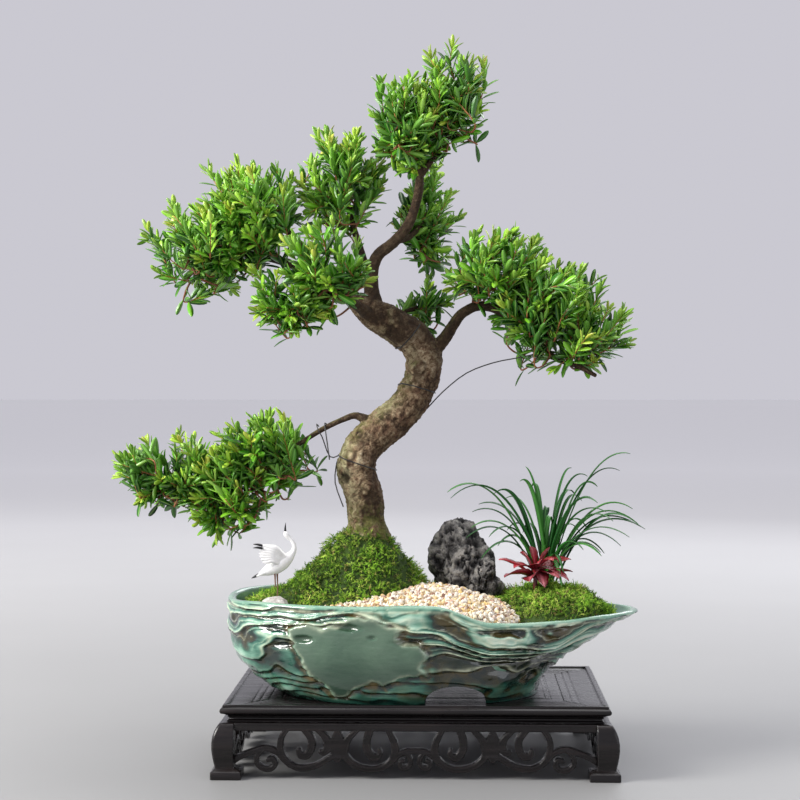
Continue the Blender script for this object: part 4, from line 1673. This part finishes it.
def add_shoot_leaves(leaves, rng, path):
    """Opposite pairs of narrow leaves up one shoot, each pair turned from the last, and a tuft at its tip."""
    lengths = np.concatenate([[0], np.cumsum(np.linalg.norm(np.diff(path, axis=0), axis=1))])
    spacing = rng.uniform(4.0, 5.2)
    count = int(lengths[-1] / spacing)
    turn = rng.uniform(0, math.pi)
    shoot_tone = rng.uniform(0.0, 0.72)
    bright = rng.random() < 0.3
    for n in range(count + 1):
        s = min(n * spacing, lengths[-1] - 0.01)
        at, later, before = (np.array([np.interp(where, lengths, path[:, i]) for i in range(3)])
                             for where in (s, min(s + 1, lengths[-1]), max(s - 1, 0)))
        ahead = unit(later - before)
        u = unit(np.cross(ahead, (0.13, 0.31, 0.94) if abs(ahead[2]) < 0.9 else (1.0, 0.2, 0.0)))
        v = np.cross(ahead, u)
        share = n / max(count, 1)
        open_angle = math.radians(rng.uniform(42, 62) - 24 * share)
        size = 11.0 + 6.0 * math.sin(math.pi * min(share * 0.8 + 0.25, 1.0))
        for sign in (-1, 1):
            a = turn + rng.normal() * 0.22
            out = (u * math.cos(a) + v * math.sin(a)) * sign
            way = unit(ahead * math.cos(open_angle) + out * math.sin(open_angle) + rng.normal(size=3) * 0.09
                       + np.array((0, 0, 0.10)))
            up = unit(ahead * 0.8 + np.array((0, -0.25, 0.7)) - out * 0.35 + rng.normal(size=3) * 0.42)
            length = size * rng.uniform(0.85, 1.2)
            young = smooth(share, 0.70, 1.0) * (0.8 if bright else 0.2)
            tone = np.clip(shoot_tone + 0.34 * share - 0.06 + 0.15 * rng.normal(), 0, 1)
            width = rng.uniform(4.0, 5.2) * MM * (0.5 + 0.5 * length / 15)
            leaves.add(place(at), way, up, length * MM, width, rng.uniform(-0.02, 0.16), tone, young)
        turn += math.pi / 2
    for n in range(rng.integers(2, 4)):
        way = unit(ahead + rng.normal(size=3) * 0.28)
        up = unit(np.cross(way, rng.normal(size=3)) + np.array((0, 0, 0.4)))
        leaves.add(place(path[-1]), way, up, rng.uniform(8, 13) * MM, rng.uniform(2.6, 3.6) * MM, 0.03,
                   rng.uniform(0.2, 0.9), 0.8 if bright else 0.3)


# --- Wires -----------------------------------------------------------------------------------
WIRE_RADIUS = 0.5
WIRE_SIDES = 10
# Each turn: where on the trunk path it starts and ends, first and last share of a turn, steps.
TIE_TURN = (6.05, 6.45, 0.52, 1.56, 40)
GUY_TURN = (10.35, 9.75, 0.92, 1.98, 40)
BAND_TURN = (13.55, 13.8, 0.10, 1.06, 50)
GUY_SPAN = [(21, 2, 296), (40, 1, 311), (62, 1, 319.5), (82, -1, 323.5), (98, -4.5, 327)]


def wire_loop(bark, t_start, t_end, first, last, count):
    """Millimetre points of a wire wound round the trunk, a little off the bark."""
    points = []
    for k in range(count + 1):
        share = k / count
        t = t_start + (t_end - t_start) * share
        i = min(int(t), len(TRUNK_PATH) - 2)
        a, b = np.array(TRUNK_PATH[i]), np.array(TRUNK_PATH[i + 1])
        centre, ahead = (a + (b - a) * (t - i))[:3], unit((b - a)[:3])
        across = unit(np.cross((0, 1, 0), ahead))
        depth = unit(np.cross(across, ahead))
        angle = math.tau * (first + (last - first) * share)
        outward = across * math.cos(angle) + depth * math.sin(angle)
        hit = bark.ray_cast(Vector(place(centre + outward * 24)), -Vector(outward))[0]
        points.append((np.array(hit) - SHIFT) / MM + outward * (WIRE_RADIUS + 0.1))
    return [tuple(p) for p in points]


def wires(tree, material):
    bark = BVHTree.FromPolygons([v.co for v in tree.data.vertices],
                                [tuple(p.vertices) for p in tree.data.polygons])
    routes = {
        "wire_tie_left": [(-59.5, -21, 203), (-66.5, -15, 222)] + wire_loop(bark, *TIE_TURN)
        + [(-71, -10, 243), (-77, -14.8, 259), (-80, -15.6, 264), (-81.8, -11, 269.5), (-80.5, -6, 267.6)],
        "wire_tie_left_second": [(-70.8, -19.5, 241), (-72.8, -16.2, 254), (-74, -15.4, 262),
                                 (-75.2, -10.8, 269.6), (-74.6, -8.6, 270.2), (-74, -6.4, 268.9)],
        "wire_guy_right": wire_loop(bark, *GUY_TURN) + GUY_SPAN,
        "wire_band_upper": wire_loop(bark, *BAND_TURN),
    }
    for name, route in routes.items():
        path = smooth_path(route, 3)
        path = np.concatenate([place(path), np.full((len(path), 1), WIRE_RADIUS * MM)], axis=1)
        parts = Parts()
        parts.add(*closed_rings(tube_rings(path, WIRE_SIDES)))
        piece(parts.build(f"thin_{name}", material), [name])


# --- Stage -----------------------------------------------------------------------------------
FLOOR_CORNERS = [(-14, -6), (14, -6), (14, 24), (-14, 24)]
FLOOR_THICKNESS = 0.02
FLOOR_FADE = [(0.06, 0.25), (0.20, 0.38), (0.50, 0.76), (0.95, 0.93)]  # share of FADE_REACH, brightness
FADE_REACH = 5.0
ROOM_COLOUR, ROOM_STRENGTH = (0.72, 0.71, 0.78, 1.0), 0.82
LIGHTS = {  # where in metres, width and height, watts, colour
    "key_window": ((-1.8, -0.7, 1.3), (1.1, 1.0), 80, (1.0, 0.98, 0.94)),
    "top_soft": ((0.1, 0.2, 2.0), (1.6, 1.6), 20, (1.0, 1.0, 1.0)),
    "fill_right": ((1.7, -1.1, 0.9), (1.0, 1.2), 5, (0.95, 0.97, 1.0)),
    "back_rim": ((0.7, 1.7, 1.3), (1.4, 0.9), 12, (0.95, 0.97, 1.0)),
}
CAMERA_PLACE = (27.5, -1470, 307)
CAMERA_TILT, CAMERA_TURN = 89.30, 1.63  # degrees
CAMERA_LENS = 80.9


def floor_under():
    """A pale floor that grows lighter with distance, so that it runs into the room's light."""
    look = Look("pale_floor", Roughness=0.55)
    reach = look.tree.nodes.new("ShaderNodeVectorMath")
    reach.operation = "LENGTH"
    look.put(reach.inputs[0], look.position)
    far = look.math("DIVIDE", reach.outputs["Value"], FADE_REACH)
    look.set("Base Color", look.ramp(look.sum(far, look.noise(3, 3, 0.5), 0.04), FLOOR_FADE))
    ring = np.array(FLOOR_CORNERS, float)
    rings = [np.concatenate([ring, np.full((4, 1), z)], axis=1) for z in (-FLOOR_THICKNESS, 0.0)]
    parts = Parts()
    parts.add(*closed_rings(rings))
    floor = parts.build("floor", look.material, shade_smooth=False)


def stage():
    scene = bpy.context.scene
    scene.view_settings.view_transform = "Standard"
    scene.view_settings.look = "None"
    floor_under()
    world = bpy.data.worlds.new("soft_room")
    scene.world = world
    world.use_nodes = True
    background = world.node_tree.nodes["Background"]
    background.inputs["Color"].default_value = ROOM_COLOUR
    background.inputs["Strength"].default_value = ROOM_STRENGTH
    middle = Vector((SHIFT[0], 0.0, 0.25))
    for name, (where, size, power, colour) in LIGHTS.items():
        light = bpy.data.lights.new(name, "AREA")
        light.shape = "RECTANGLE"
        light.size, light.size_y = size
        light.energy = power
        light.color = colour
        holder = linked(name, light)
        holder.location = where
        holder.rotation_euler = (middle - Vector(where)).to_track_quat("-Z", "Y").to_euler()
    camera = bpy.data.cameras.new("camera")
    camera.lens = CAMERA_LENS
    camera.sensor_width = 36
    camera.clip_start, camera.clip_end = 0.05, 50
    holder = linked("camera", camera)
    holder.location = Vector(place(CAMERA_PLACE))
    holder.rotation_euler = (math.radians(CAMERA_TILT), 0.0, math.radians(CAMERA_TURN))
    scene.camera = holder


def main():
    stage()
    lacquer = lacquer_look()
    stand_top(lacquer)
    stand_legs(lacquer)
    stand_aprons(lacquer)
    pot(glaze_look())
    soil(soil_look())
    green = moss_look()
    moss("moss_mound_left", 7000, 3, green)
    moss("moss_mound_right", 3600, 5, green)
    moss("moss_bed_back", 3200, 7, green)
    gravel(gravel_look())
    rock(rock_look())
    crane(plain_look("crane_white", (0.86, 0.86, 0.86), 0.4, 300, (0.74, 0.73, 0.72)),
          plain_look("crane_black", (0.012, 0.012, 0.013), 0.35),
          plain_look("crane_leg", (0.20, 0.10, 0.06), 0.5), pale_stone_look())
    grass(grass_look())
    red_plant(red_leaf_look())
    tree = tree_bark(bark_look())
    wires(tree, plain_look("training_wire", (0.012, 0.012, 0.013), 0.4, 800, (0.05, 0.045, 0.04)))
    leaf, twig = leaf_look(), twig_look()
    for k, name in enumerate(PADS):
        grow_pad(name, leaf, twig, 100 + k)


main()
